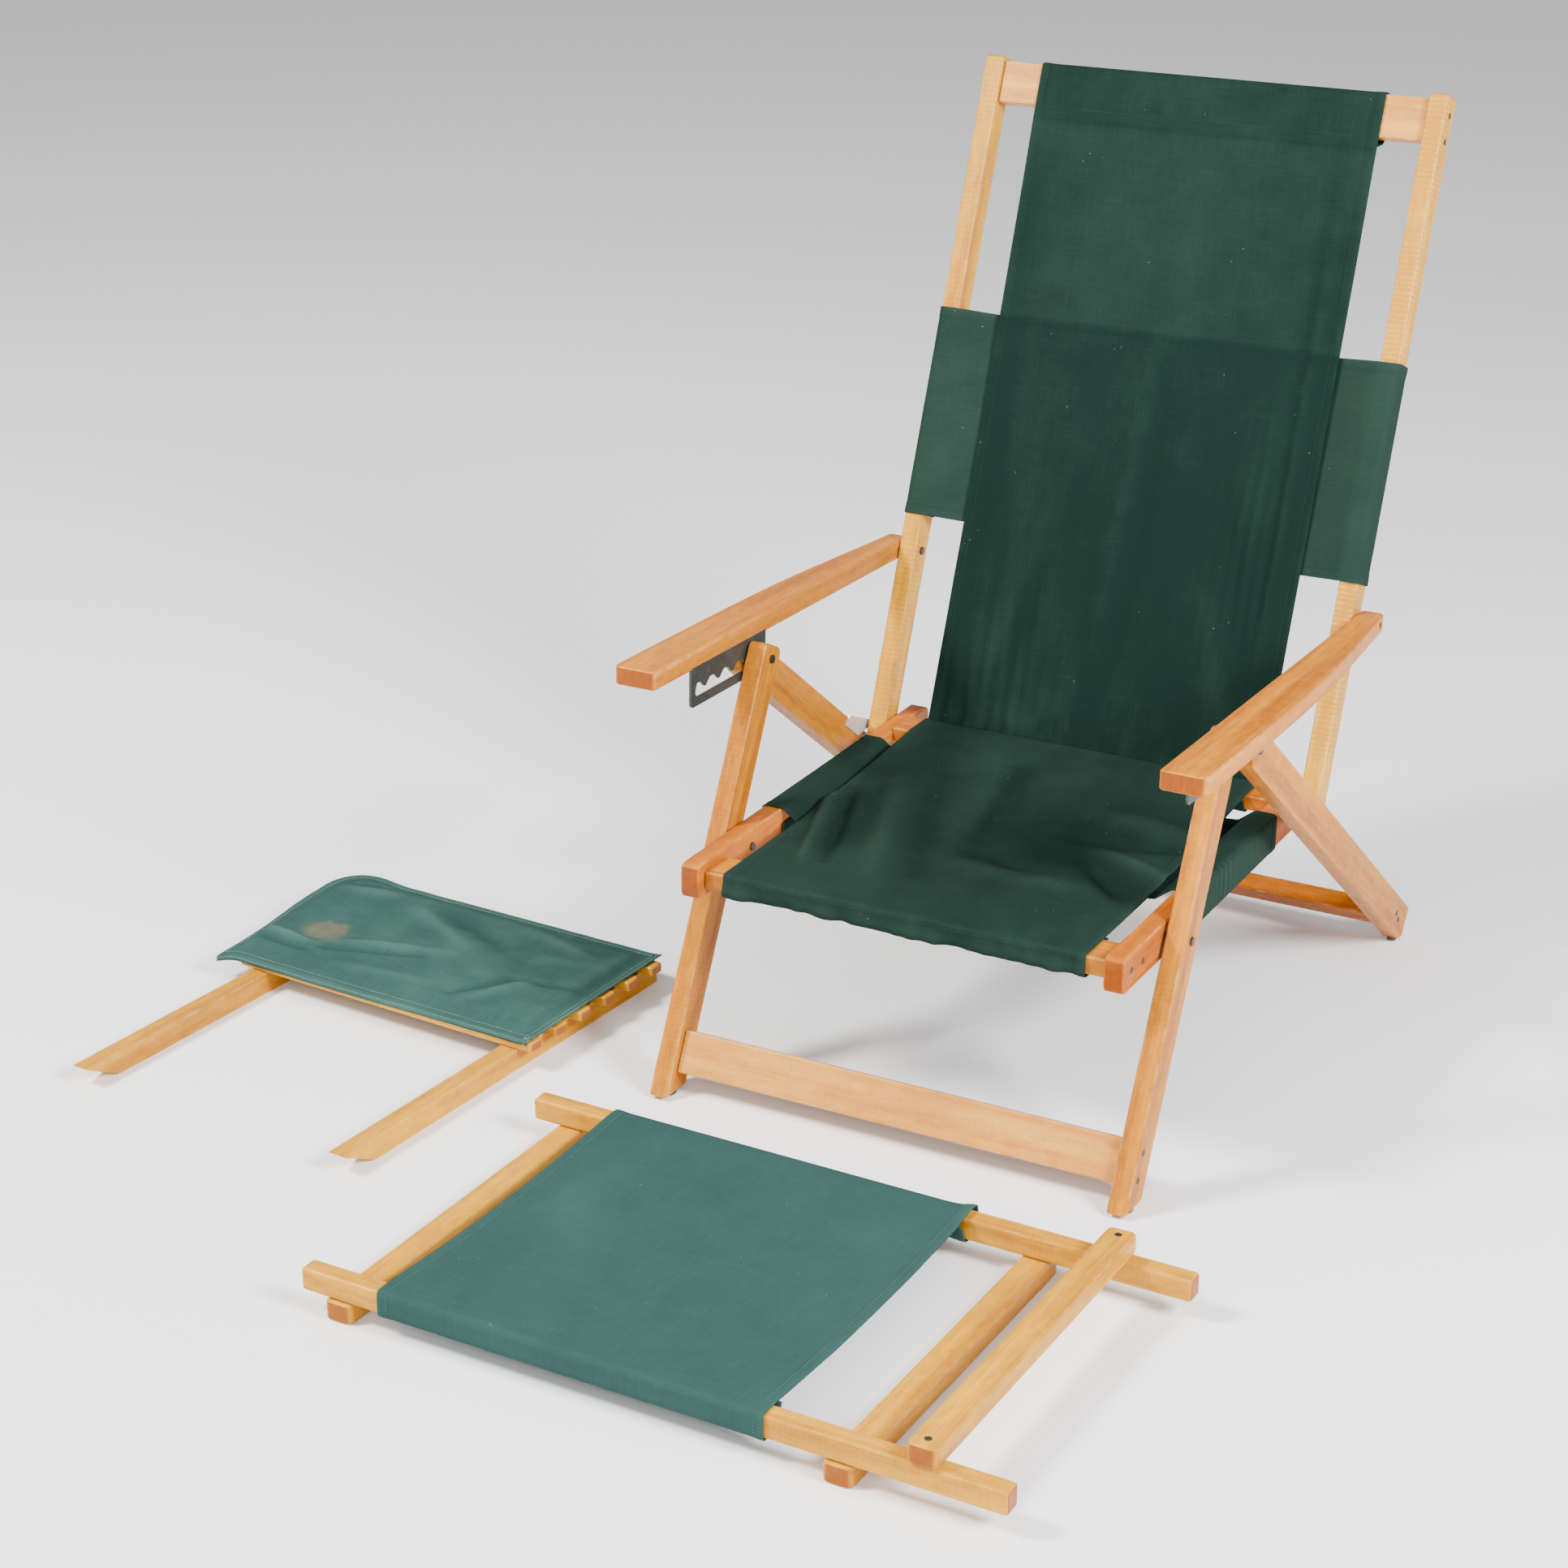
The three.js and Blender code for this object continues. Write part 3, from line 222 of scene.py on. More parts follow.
# ------------------------------------------------------------ timber figure
def timber_group():
    """Grain along X, curl across it, worn edges, for varnished hardwood."""
    group, given, made = new_group(
        "timber_figure",
        [
            ("Place", "Vector", None),
            ("Shift", "Float", 0.0),
            ("Light", "Color", (0.6, 0.35, 0.14, 1)),
            ("Deep", "Color", (0.3, 0.14, 0.05, 1)),
            ("Curl", "Float", 0.1),
            ("Half Width", "Float", 0.02),
            ("Half Depth", "Float", 0.011),
        ],
    )
    place = given["Place"]
    shift = add(group, "CombineXYZ", {0: given["Shift"], 1: given["Shift"]}).outputs[0]
    moved = add(group, "VectorMath", {0: place, 1: shift}, operation="ADD").outputs[0]
    # Growth bands, drawn out along the board and slightly wandering
    sway = cloud(group, stretch(group, moved, (5, 24, 24)), 1, 2)
    lean = add(group, "CombineXYZ", {1: maths(group, "MULTIPLY", sway, 0.012)}).outputs[0]
    bent = add(group, "VectorMath", {0: moved, 1: lean}, operation="ADD").outputs[0]
    bands = cloud(group, stretch(group, bent, (2.2, 62, 46)), 1)
    flecks = cloud(group, stretch(group, moved, (46, 120, 120)), 1, 4, 0.6)
    fibres = cloud(group, stretch(group, bent, (14, 620, 620)), 1, 6, 0.66)
    pores = cloud(group, stretch(group, bent, (95, 1500, 1500)), 1, 2)
    pore_marks = remap(group, pores, 0.66, 0.76)
    # Curly figure, a ripple of light and dark bars across the grain
    bars = stripes(group, stretch(group, moved, (1, 0.55, 0.55)), 52, 3.4, 3, "X", 1.4)
    patches = remap(group, cloud(group, moved, 9, 2), 0.34, 0.54)
    curl = maths(group, "MULTIPLY", maths(group, "MULTIPLY", bars, patches), given["Curl"])
    tone = remap(group, bands, 0.3, 0.72, 0.08, 0.9)
    tone = waver(group, tone, fibres, -0.22, 0.22)
    tone = waver(group, tone, flecks, -0.2, 0.2)
    tone = maths(group, "SUBTRACT", tone, curl, clamp=True)
    colour = blend_colour(group, tone, given["Deep"], given["Light"])
    colour = tinge(group, pore_marks, 0.22, colour, (0.16, 0.07, 0.025, 1))
    # Rubbed varnish where two faces meet
    parts = add(group, "SeparateXYZ", {0: place}).outputs
    gap_across = maths(group, "SUBTRACT", given["Half Width"], maths(group, "ABSOLUTE", parts[1]))
    gap_deep = maths(group, "SUBTRACT", given["Half Depth"], maths(group, "ABSOLUTE", parts[2]))
    far = maths(group, "MAXIMUM", gap_across, gap_deep)
    uneven = cloud(group, moved, 55, 4, 0.6)
    rub = maths(group, "MULTIPLY", remap(group, far, 0.0026, 0.0004), remap(group, uneven, 0.42, 0.62))
    colour = tinge(group, rub, 0.28, colour, (0.84, 0.58, 0.28, 1))
    # Handling marks: broad patches a little darker, and small specks
    handled = remap(group, cloud(group, moved, 6.5, 3, 0.6), 0.52, 0.78)
    colour = tinge(group, handled, 0.36, colour, (0.26, 0.105, 0.022, 1))
    specks = remap(group, cloud(group, moved, 420, 1), 0.75, 0.8)
    colour = tinge(group, specks, 0.25, colour, (0.1, 0.05, 0.02, 1))
    rough = remap(group, uneven, 0.3, 0.7, 0.3, 0.44)
    rough = plus(group, rough, 0.16, rub)
    height = plus(group, fibres, -0.8, pore_marks)
    height = plus(group, height, 0.4, uneven)
    put_out(group, made, colour, rough, height)
    return group


# ------------------------------------------------------------- canvas weave
def canvas_group():
    """Plain weave on the cloth's own lengths, made paler or darker by its mark of worn paleness and
    painted light and shade.
    """
    group, given, made = new_group(
        "canvas_weave",
        [
            ("Place", "Vector", None),
            ("Fade", "Float", 0.0),
            ("Deep", "Color", (0.02, 0.06, 0.04, 1)),
            ("Pale", "Color", (0.05, 0.1, 0.08, 1)),
        ],
    )
    place = given["Place"]
    warp = stripes(group, place, 260, 0.6, 1, "X")
    weft = stripes(group, place, 300, 0.6, 1, "Y")
    threads = maths(group, "MULTIPLY", warp, weft)
    slubs = cloud(group, stretch(group, place, (1400, 26, 1)), 1, 3, 0.6)
    slubs_across = cloud(group, stretch(group, place, (26, 1400, 1)), 1, 3, 0.6)
    mottle = cloud(group, place, 16, 5, 0.62)
    drift = cloud(group, stretch(group, place, (7, 2.2, 1)), 1, 3, 0.5, 0.4)
    tone = remap(group, mottle, 0.34, 0.68, 0.14, 0.36)
    tone = waver(group, tone, drift, -0.08, 0.14)
    tone = waver(group, tone, slubs, -0.14, 0.14)
    tone = waver(group, tone, slubs_across, -0.14, 0.14)
    # The mark adds worn paleness, painted shade in hollows and painted light on ridges and lit faces.
    tone = maths(group, "ADD", tone, given["Fade"], clamp=True)
    colour = blend_colour(group, tone, given["Deep"], given["Pale"])
    lint = add(group, "TexVoronoi", {"Vector": place, "Scale": 95}, feature="F1").outputs["Distance"]
    chosen = remap(group, cloud(group, place, 33, 1), 0.6, 0.66)
    lint = maths(group, "MULTIPLY", remap(group, lint, 0.075, 0.035), chosen)
    colour = tinge(group, lint, 0.3, colour, (0.4, 0.5, 0.43, 1))
    rough = remap(group, mottle, 0.3, 0.7, 0.84, 0.95)
    height = plus(group, threads, 0.5, slubs)
    height = plus(group, height, 0.5, slubs_across)
    put_out(group, made, colour, rough, height)
    return group


# --------------------------------------------------------------- metal wear
def metal_group():
    """Mottled plating with fine scratches and grime."""
    group, given, made = new_group(
        "metal_wear",
        [
            ("Place", "Vector", None),
            ("Bright", "Color", (0.4, 0.4, 0.4, 1)),
            ("Dull", "Color", (0.2, 0.2, 0.2, 1)),
        ],
    )
    place = given["Place"]
    flakes = add(group, "TexVoronoi", {"Vector": place, "Scale": 210}, feature="F1").outputs["Distance"]
    mottle = cloud(group, place, 120, 4, 0.65)
    scratches = cloud(group, stretch(group, place, (900, 60, 420)), 1, 2, 0.5, 0.3)
    grime = remap(group, cloud(group, place, 34, 4, 0.6), 0.5, 0.7)
    tone = plus(group, remap(group, mottle, 0.3, 0.7, 0.3, 0.7), 0.2, flakes, clamp=True)
    colour = blend_colour(group, tone, given["Dull"], given["Bright"])
    colour = tinge(group, grime, 0.16, colour, (0.14, 0.13, 0.12, 1))
    rough = remap(group, scratches, 0.3, 0.7, 0.34, 0.56)
    rough = plus(group, rough, 0.15, grime)
    height = maths(group, "ADD", mottle, remap(group, scratches, 0.6, 0.7, 0, -0.4))
    put_out(group, made, colour, rough, height)
    return group


timber_figure = timber_group()
canvas_weave = canvas_group()
metal_wear = metal_group()

honey = (linear(206, 133, 26), linear(150, 83, 12))
straw = (linear(218, 159, 36), linear(172, 110, 16))
pale_straw = (linear(232, 180, 66), linear(192, 132, 34))
amber = (linear(198, 112, 22), linear(144, 70, 10))
gold = (linear(204, 131, 34), linear(156, 86, 18))
blond = (linear(222, 160, 74), linear(186, 114, 44))
bottle_green = (linear(15, 33, 28), linear(36, 55, 48))
faded_teal = (linear(38, 63, 60), linear(52, 82, 77))
pad_teal = (linear(40, 66, 61), linear(66, 98, 91))


# ----------------------------------------------------------------- finishes
def blank_look(name):
    look = bpy.data.materials.new(name)
    look.use_nodes = True
    return look, look.node_tree, look.node_tree.nodes["Principled BSDF"]


def wear(tree, group, values):
    """What a finish group puts out in a material, with the material's own values."""
    return add(tree, "Group", values, node_tree=group).outputs


def lay_on(tree, shader, finish, colour, strength, depth, values):
    """Gives the shader a colour, a finish's roughness and relief, and plain values."""
    bump = add(tree, "Bump", {"Height": finish["Height"], "Strength": strength, "Distance": depth})
    feed(tree, shader, {"Base Color": colour, "Roughness": finish["Roughness"], "Normal": bump.outputs[0]})
    feed(tree, shader, values)


def varnished(name, tones, axes, centre, halves, shift, curl):
    """Varnished hardwood whose grain runs along the board's first axis."""
    look, tree, shader = blank_look(name)
    spot = add(tree, "TexCoord").outputs["Object"]
    turn = Matrix(axes)
    place = add(tree, "Mapping", {"Vector": spot, "Rotation": turn.to_euler("XYZ"),
                                  "Location": -(turn @ centre)}).outputs[0]
    figure = wear(tree, timber_figure, {
        "Place": place, "Shift": shift, "Light": tones[0], "Deep": tones[1], "Curl": curl,
        "Half Width": halves[1], "Half Depth": halves[2],
    })
    # End grain drinks more varnish and looks darker
    facing = add(tree, "VectorMath", {0: add(tree, "NewGeometry").outputs["Normal"], 1: axes[0]},
                 operation="DOT_PRODUCT").outputs["Value"]
    ends = remap(tree, maths(tree, "ABSOLUTE", facing), 0.75, 0.97)
    rings = cloud(tree, stretch(tree, place, (30, 330, 90)), 1)
    end_tone = blend_colour(tree, rings, linear(156, 70, 10), linear(96, 44, 10))
    colour = tinge(tree, ends, 0.85, figure["Color"], end_tone)
    lay_on(tree, shader, figure, colour, 0.22, 0.0004,
           {"Specular IOR Level": 0.12, "Coat Weight": 0.05, "Coat Roughness": 0.22})
    return look


def dress_board(node, tones, along, side, curl):
    """Gives a timber node its own grain direction, measured from its mesh."""
    first = along.normalized()
    third = side.normalized()
    second = third.cross(first)
    axes = (first, second, third)
    corners = np.array([v.co for v in nodes[node].data.vertices])
    spread = corners @ np.array(axes).T
    low, high = spread.min(0), spread.max(0)
    mid = (low + high) / 2
    centre = first * mid[0] + second * mid[1] + third * mid[2]
    shift = (sum(map(ord, node)) % 97) * 0.37
    look = varnished(node + "_timber", tones, axes, centre, (high - low) / 2, shift, curl)
    finish_node(node, look)


def finish_node(node, look):
    mesh = nodes[node].data
    mesh.materials.clear()
    mesh.materials.append(look)


def canvas_look(name, tones, stain=None):
    """Cotton canvas; reads the cloth's own lengths and its marks of wear and painted light and shade."""
    look, tree, shader = blank_look(name)
    lengths = add(tree, "UVMap", uv_map="cloth_lengths").outputs["UV"]
    # The fade attribute holds worn paleness together with painted light and shade.
    fade = add(tree, "Attribute", attribute_name="fade").outputs["Fac"]
    weave = wear(tree, canvas_weave, {"Place": lengths, "Fade": fade, "Deep": tones[0], "Pale": tones[1]})
    colour = weave["Color"]
    if stain:
        mark = add(tree, "Attribute", attribute_name="stain").outputs["Fac"]
        ragged = remap(tree, cloud(tree, lengths, 60, 4, 0.6), 0.3, 0.7, 0.5, 1.1)
        colour = blend_colour(tree, maths(tree, "MULTIPLY", mark, ragged, clamp=True), colour, stain)
    lay_on(tree, shader, weave, colour, 0.35, 0.00025, {"Specular IOR Level": 0.04})
    return look


def plated(name, bright, dull, metallic, strength):
    look, tree, shader = blank_look(name)
    spot = add(tree, "TexCoord").outputs["Object"]
    worn = wear(tree, metal_wear, {"Place": spot, "Bright": bright, "Dull": dull})
    lay_on(tree, shader, worn, worn["Color"], strength, 0.0003, {"Metallic": metallic})
    return look


def thread_look(name, light, dark):
    look, tree, shader = blank_look(name)
    spot = add(tree, "TexCoord").outputs["Object"]
    strands = cloud(tree, spot, 900, 2)
    worn = cloud(tree, spot, 40)
    tone = maths(tree, "ADD", remap(tree, strands, 0.3, 0.7, 0, 0.6),
                 remap(tree, worn, 0.35, 0.65, -0.2, 0.4), clamp=True)
    feed(tree, shader, {"Base Color": blend_colour(tree, tone, dark, light),
                        "Roughness": remap(tree, strands, 0.3, 0.7, 0.7, 0.9)})
    return look


# ------------------------------------------------------------- mesh helpers
def piece_from(shape, name, look, body, smooth=True):
    """A finished piece at the origin, with its place in its mesh."""
    mesh = bpy.data.meshes.new(name)
    shape.to_mesh(mesh)
    shape.free()
    for face in mesh.polygons:
        face.use_smooth = smooth
    mesh.materials.append(look)
    piece = new_object(name, mesh)
    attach(piece, body)
    return piece


def smooth_step(low, high, value):
    share = min(max((value - low) / (high - low), 0.0), 1.0)
    return share * share * (3 - 2 * share)


def bump_at(value, centre, reach):
    """One at the centre, falling smoothly to nothing a reach away."""
    return math.exp(-((value - centre) / reach) ** 2)


def wander(x, y, scale, seed=0.0):
    return noise.noise(Vector((x * scale, y * scale, seed)))


def lengths_along(points):
    """How far along a line of points each of them lies."""
    along = [0.0]
    for one, two in zip(points, points[1:]):
        along.append(along[-1] + (two - one).length)
    return along


def fold_run(corners, step):
    """A folded line through the corners, each turned at the fold radius, in even steps."""
    points = [Vector(corners[0])]
    for before, corner, after in zip(corners, corners[1:], corners[2:]):
        before, corner, after = Vector(before), Vector(corner), Vector(after)
        back, on = before - corner, after - corner
        reach = min(fold_radius, back.length * 0.48, on.length * 0.48)
        start = corner + back.normalized() * reach
        end = corner + on.normalized() * reach
        for index in range(7):
            share = index / 6
            points.append(start * (1 - share) ** 2 + corner * 2 * share * (1 - share) + end * share ** 2)
    points.append(Vector(corners[-1]))
    along = lengths_along(points)
    count = max(int(round(along[-1] / step)), 2)
    marks = np.linspace(0, along[-1], count + 1)
    first = np.interp(marks, along, [p.x for p in points])
    second = np.interp(marks, along, [p.y for p in points])
    return [Vector((a, b)) for a, b in zip(first, second)], along[-1]


def sag_line(start, end, sag):
    """Corners of a hanging stretch between two ends, the ends left out."""
    start, end = Vector(start), Vector(end)
    way = (end - start).normalized()
    drop = Vector((way.y, -way.x))
    shares = [index / 16 for index in range(1, 16)]
    return [start.lerp(end, share) + drop * (4 * sag * share * (1 - share)) for share in shares]


def column_marks(low, high, fine, coarse, edge):
    """Places across a cloth, close together in its hems and wider between."""
    near = list(np.arange(low, low + edge, fine))
    far = list(np.arange(high, high - edge, -fine))[::-1]
    count = max(int((far[0] - near[-1]) / coarse), 2)
    return near + list(np.linspace(near[-1], far[0], count + 1)[1:-1]) + far


def marked_grid(shape, xs, ys):
    """A grid in the shape: each vertex with the places that its two lines stand for."""
    grid = bmesh.ops.create_grid(shape, x_segments=len(xs) - 1, y_segments=len(ys) - 1, size=0.5)
    return [(vertex, xs[int(round((vertex.co.x + 0.5) * (len(xs) - 1)))],
             ys[int(round((vertex.co.y + 0.5) * (len(ys) - 1)))]) for vertex in grid["verts"]]


class Cloth:
    """A sheet whose length follows a folded run and whose width is straight."""

    def __init__(self, corners, step, low, high, origin, axes, ripple, tint=None):
        self.run, self.length = fold_run(corners, step)
        self.low, self.high, self.origin, self.axes = low, high, origin, axes
        self.ripple, self.tint = ripple, tint

    def spot(self, s):
        """The run's own point at a length along it, and the number of its step."""
        place = s / self.length * (len(self.run) - 1)
        index = min(max(int(place), 0), len(self.run) - 2)
        return self.run[index].lerp(self.run[index + 1], place - index), index

    def at(self, t, s, lift=0.0):
        """A point of the cloth, its outward direction and how far it is pushed out."""
        here, index = self.spot(s)
        before = self.run[max(index - 1, 0)]
        after = self.run[min(index + 2, len(self.run) - 1)]
        way = (after - before).normalized()
        out = Vector((-way.y, way.x))
        push = self.ripple(t, here.x, here.y)
        spot = here + out * (push + lift)
        wide, first, second = self.axes
        normal = first * out.x + second * out.y
        return self.origin + wide * t + first * spot.x + second * spot.y, normal, push


def make_cloth(name, cloth, rows, looks, body, stands_for, coarse=0.005):
    """The cloth as a closed sheet, with its lengths as UV, its marks of wear and painted light and shade,
    and its stitches.
    """
    columns = column_marks(cloth.low, cloth.high, 0.0016, coarse, hem_width + 0.005)
    steps = len(cloth.run) - 1
    lines = [cloth.length * step / steps for step in range(steps + 1)]
    shape = bmesh.new()
    lengths = shape.loops.layers.uv.new("cloth_lengths")
    fade = shape.verts.layers.float.new("fade")
    where = {}
    for vertex, t, s in marked_grid(shape, columns, lines):
        where[vertex] = (t, s)
        vertex.co, _, push = cloth.at(t, s)
        edge = min(t - cloth.low, cloth.high - t)
        # Painted shade where the cloth is pushed in and painted light where it stands out; folded edges
        # paler from wear.
        vertex[fade] = max(-0.3, min(0.5, push * 85)) + 0.16 * bump_at(edge, 0, 0.003)
        # A painted shade line along the hem's stitching.
        vertex[fade] -= 0.12 * bump_at(edge, hem_width - 0.001, 0.0016)
        # Each cloth's own tint: worn paleness on the seat, painted light and shade on the bands and back.
        if cloth.tint:
            vertex[fade] += cloth.tint(t, *cloth.spot(s)[0])
    for face in shape.faces:
        for loop in face.loops:
            loop[lengths].uv = where[loop.vert]
    piece = piece_from(shape, name + "_cloth", looks[0], body)
    thickness = piece.modifiers.new("thickness", "SOLIDIFY")
    thickness.thickness = cloth_half * 2
    thickness.offset = 0
    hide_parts(stands_for)
    stitch_rows(name + "_stitches", rows, looks[1], body)


def add_stitch(shape, spot, way, side, up):
    """One short thread as a drawn-out ball, with its three half lengths."""
    turn = Matrix((way, side, up)).transposed().to_4x4()
    turn.translation = spot
    bmesh.ops.create_icosphere(shape, subdivisions=1, radius=1, matrix=turn)


def stitch_rows(name, rows, look, body, pitch=0.0036, size=(0.0012, 0.00034)):
    """Short thread stitches along each row; a row is a list of (point, outward)."""
    shape = bmesh.new()
    for row in rows:
        along = lengths_along([point for point, _ in row])
        place = pitch / 2
        index = 0
        while place < along[-1]:
            while along[index + 1] < place:
                index += 1
            (one, out), (two, _) = row[index], row[index + 1]
            span = max(along[index + 1] - along[index], 1e-9)
            spot = one.lerp(two, (place - along[index]) / span)
            way = (two - one).normalized()
            side = out.cross(way).normalized()
            add_stitch(shape, spot, way * size[0], side * size[1], way.cross(side) * size[1])
            place += pitch
    return piece_from(shape, name, look, body)


def seam(cloth, start, end):
    """Stitch places in a straight row between two (across, along) places of the cloth."""
    (t, s), (last_t, last_s) = start, end
    count = max(int(max(last_t - t, last_s - s) / 0.006), 2)
    return [cloth.at(t + (last_t - t) * i / count, s + (last_s - s) * i / count, 0.0009)[:2]
            for i in range(count + 1)]


def hem_seams(cloth, *spans):
    """Rows along the hem's stitching on both sides, over each span of the length."""
    sides = (cloth.low + seam_inset, cloth.high - seam_inset)
    return [seam(cloth, (t, first), (t, last)) for t in sides for first, last in spans]


def hem_relief(edge):
    """A turned hem: raised to its stitching, which draws it in, then flat."""
    raised = 0.0006 * (1 - smooth_step(hem_width - 0.001, hem_width + 0.002, edge))
    return raised - 0.0005 * bump_at(edge, seam_inset, 0.0012)


# --------------------------------------------------------------- the canvas
def valley(x, y, start, end, width):
    """How close a point is to a line between two points, one on the line itself."""
    a, b, p = Vector(start), Vector(end), Vector((x, y))
    share = min(max((p - a).dot(b - a) / (b - a).length_squared, 0), 1)
    near = (p - a.lerp(b, share)).length
    fade = math.sin(math.pi * min(max(share, 0.06), 0.94)) ** 0.5
    return bump_at(near, 0, width) * fade


def seat_sling(looks):
    front, top, low = -0.04855, 0.2668, 0.2442
    rear_top, rear_low, rear_edge = 0.28155, 0.26145, 0.44405
    start, end = (-0.0005, top), (0.401, rear_top)
    corners = [(0.0085, 0.2632), (0.0016, low), (front, low), (front, top), start]
    corners += sag_line(start, end, 0.005)
    corners += [end, (rear_edge, rear_top), (rear_edge, rear_low), (0.3989, rear_low), (0.392, 0.2779)]

    # Creases drawn from the left edge forward, and round the hollow
    creases = (
        (0.0072, (-0.214, 0.205), (-0.155, 0.02), 0.0064),
        (-0.0062, (-0.2, 0.235), (-0.135, 0.04), 0.0078),
        (0.0042, (-0.165, 0.27), (-0.075, 0.03), 0.013),
        (-0.0036, (-0.135, 0.34), (-0.035, 0.05), 0.018),
        (0.0036, (-0.08, 0.39), (-0.015, 0.17), 0.019),
        (-0.0066, (-0.05, 0.36), (0.0, 0.14), 0.019),
        (-0.005, (-0.01, 0.17), (0.07, 0.11), 0.018),
        (0.0044, (0.0, 0.1), (0.14, 0.1), 0.018),
        (-0.0066, (0.05, 0.23), (0.2, 0.24), 0.016),
        (0.0052, (0.08, 0.29), (0.21, 0.275), 0.019),
        (-0.0072, (0.12, 0.17), (0.185, 0.1), 0.011),
        (0.0056, (0.12, 0.205), (0.205, 0.17), 0.0095),
    )

    def ripple(x, y, z):
        span = smooth_step(0.0, 0.045, y) * (1 - smooth_step(0.36, 0.4, y)) * (z > 0.262)
        push = span * (0.0009 * wander(x, y, 9) + 0.0004 * wander(x, y, 26, 3))
        push -= 0.004 * span * bump_at(x, 0.07, 0.1) * bump_at(y, 0.2, 0.1)
        for height, one, two, width in creases:
            push += span * height * valley(x, y, one, two, width)
        # The hem hangs loose round the front rail
        loose = smooth_step(0.001, -0.012, y) if z < 0.2665 and y < 0.01 else 0.0
        under = smooth_step(0.262, 0.246, z) * loose
        push += under * (0.0022 + 0.0034 * wander(x, 0.3, 28, 5) + 0.002 * wander(x, 0.1, 64, 2))
        push += 0.0016 * loose * wander(x, 0.2, 46, 7)
        return push + hem_relief(sling_half_width - abs(x))

    # Worn a little paler all over
    cloth = Cloth(corners, 0.0034, -sling_half_width, sling_half_width, chair_origin,
                  (across, rearward, upward), ripple, lambda *_: 0.12)
    rows = hem_seams(cloth, (0.03, cloth.length - 0.05))
    rows.append(seam(cloth, (-0.205, 0.086), (0.205, 0.086)))
    make_cloth("seat_sling", cloth, rows, looks, "seat", "seat_sling",
               coarse=0.0034)


def side_band_corners(inner, outer, face, underside, dip):
    """A band's folded line from one inner turn, under the sling, to the other."""
    out, inn = outer + cloth_lift, inner - cloth_lift
    top, low = face + cloth_lift, underside - cloth_lift
    half = [(0.214, top - dip), (inner - 0.0015, top), (out, top), (out, low), (inn, low)]
    half.append((inn, low + 0.024))
    return [(-x, z) for x, z in reversed(half)] + half


def seat_side_band(looks):
    front, rear = 0.125, 0.371
    corners = side_band_corners(0.234, 0.256, 0.2755, 0.2355, 0.0144)

    def pleat(y, z):
        return math.sin(y * 470 + 3 * wander(y, z, 30)) * max(wander(y, 0.4, 17, 6) + 0.35, 0)

    def ripple(t, x, z):
        y = -t
        side = abs(x)
        slope = 0.0005 * wander(x, y, 22, 4) if band_shows_from < side < 0.232 else 0.0
        outer = smooth_step(0.256, 0.2568, side) * smooth_step(0.238, 0.244, z) * (z < 0.275)
        push = slope + outer * 0.00015 * (pleat(y, z) - 1)
        push -= 0.0095 * max(1 - (side / 0.212) ** 2, 0)
        return push + hem_relief(min(y - front, rear - y)) * (side > band_shows_from)

    # Painted light: the band's outer face is made lighter, with painted light and shade in stripes along
    # its pleats.
    def tint(t, x, z):
        return (0.42 + 0.36 * pleat(-t, z)) * smooth_step(0.25, 0.257, abs(x))

    cloth = Cloth(corners, 0.0045, -rear, -front, chair_origin, (-rearward, across, upward), ripple, tint)
    rows = hem_seams(cloth, (0.01, 0.115), (cloth.length - 0.115, cloth.length - 0.01))
    make_cloth("seat_band", cloth, rows, looks, "seat", "seat_band",
               coarse=0.003)


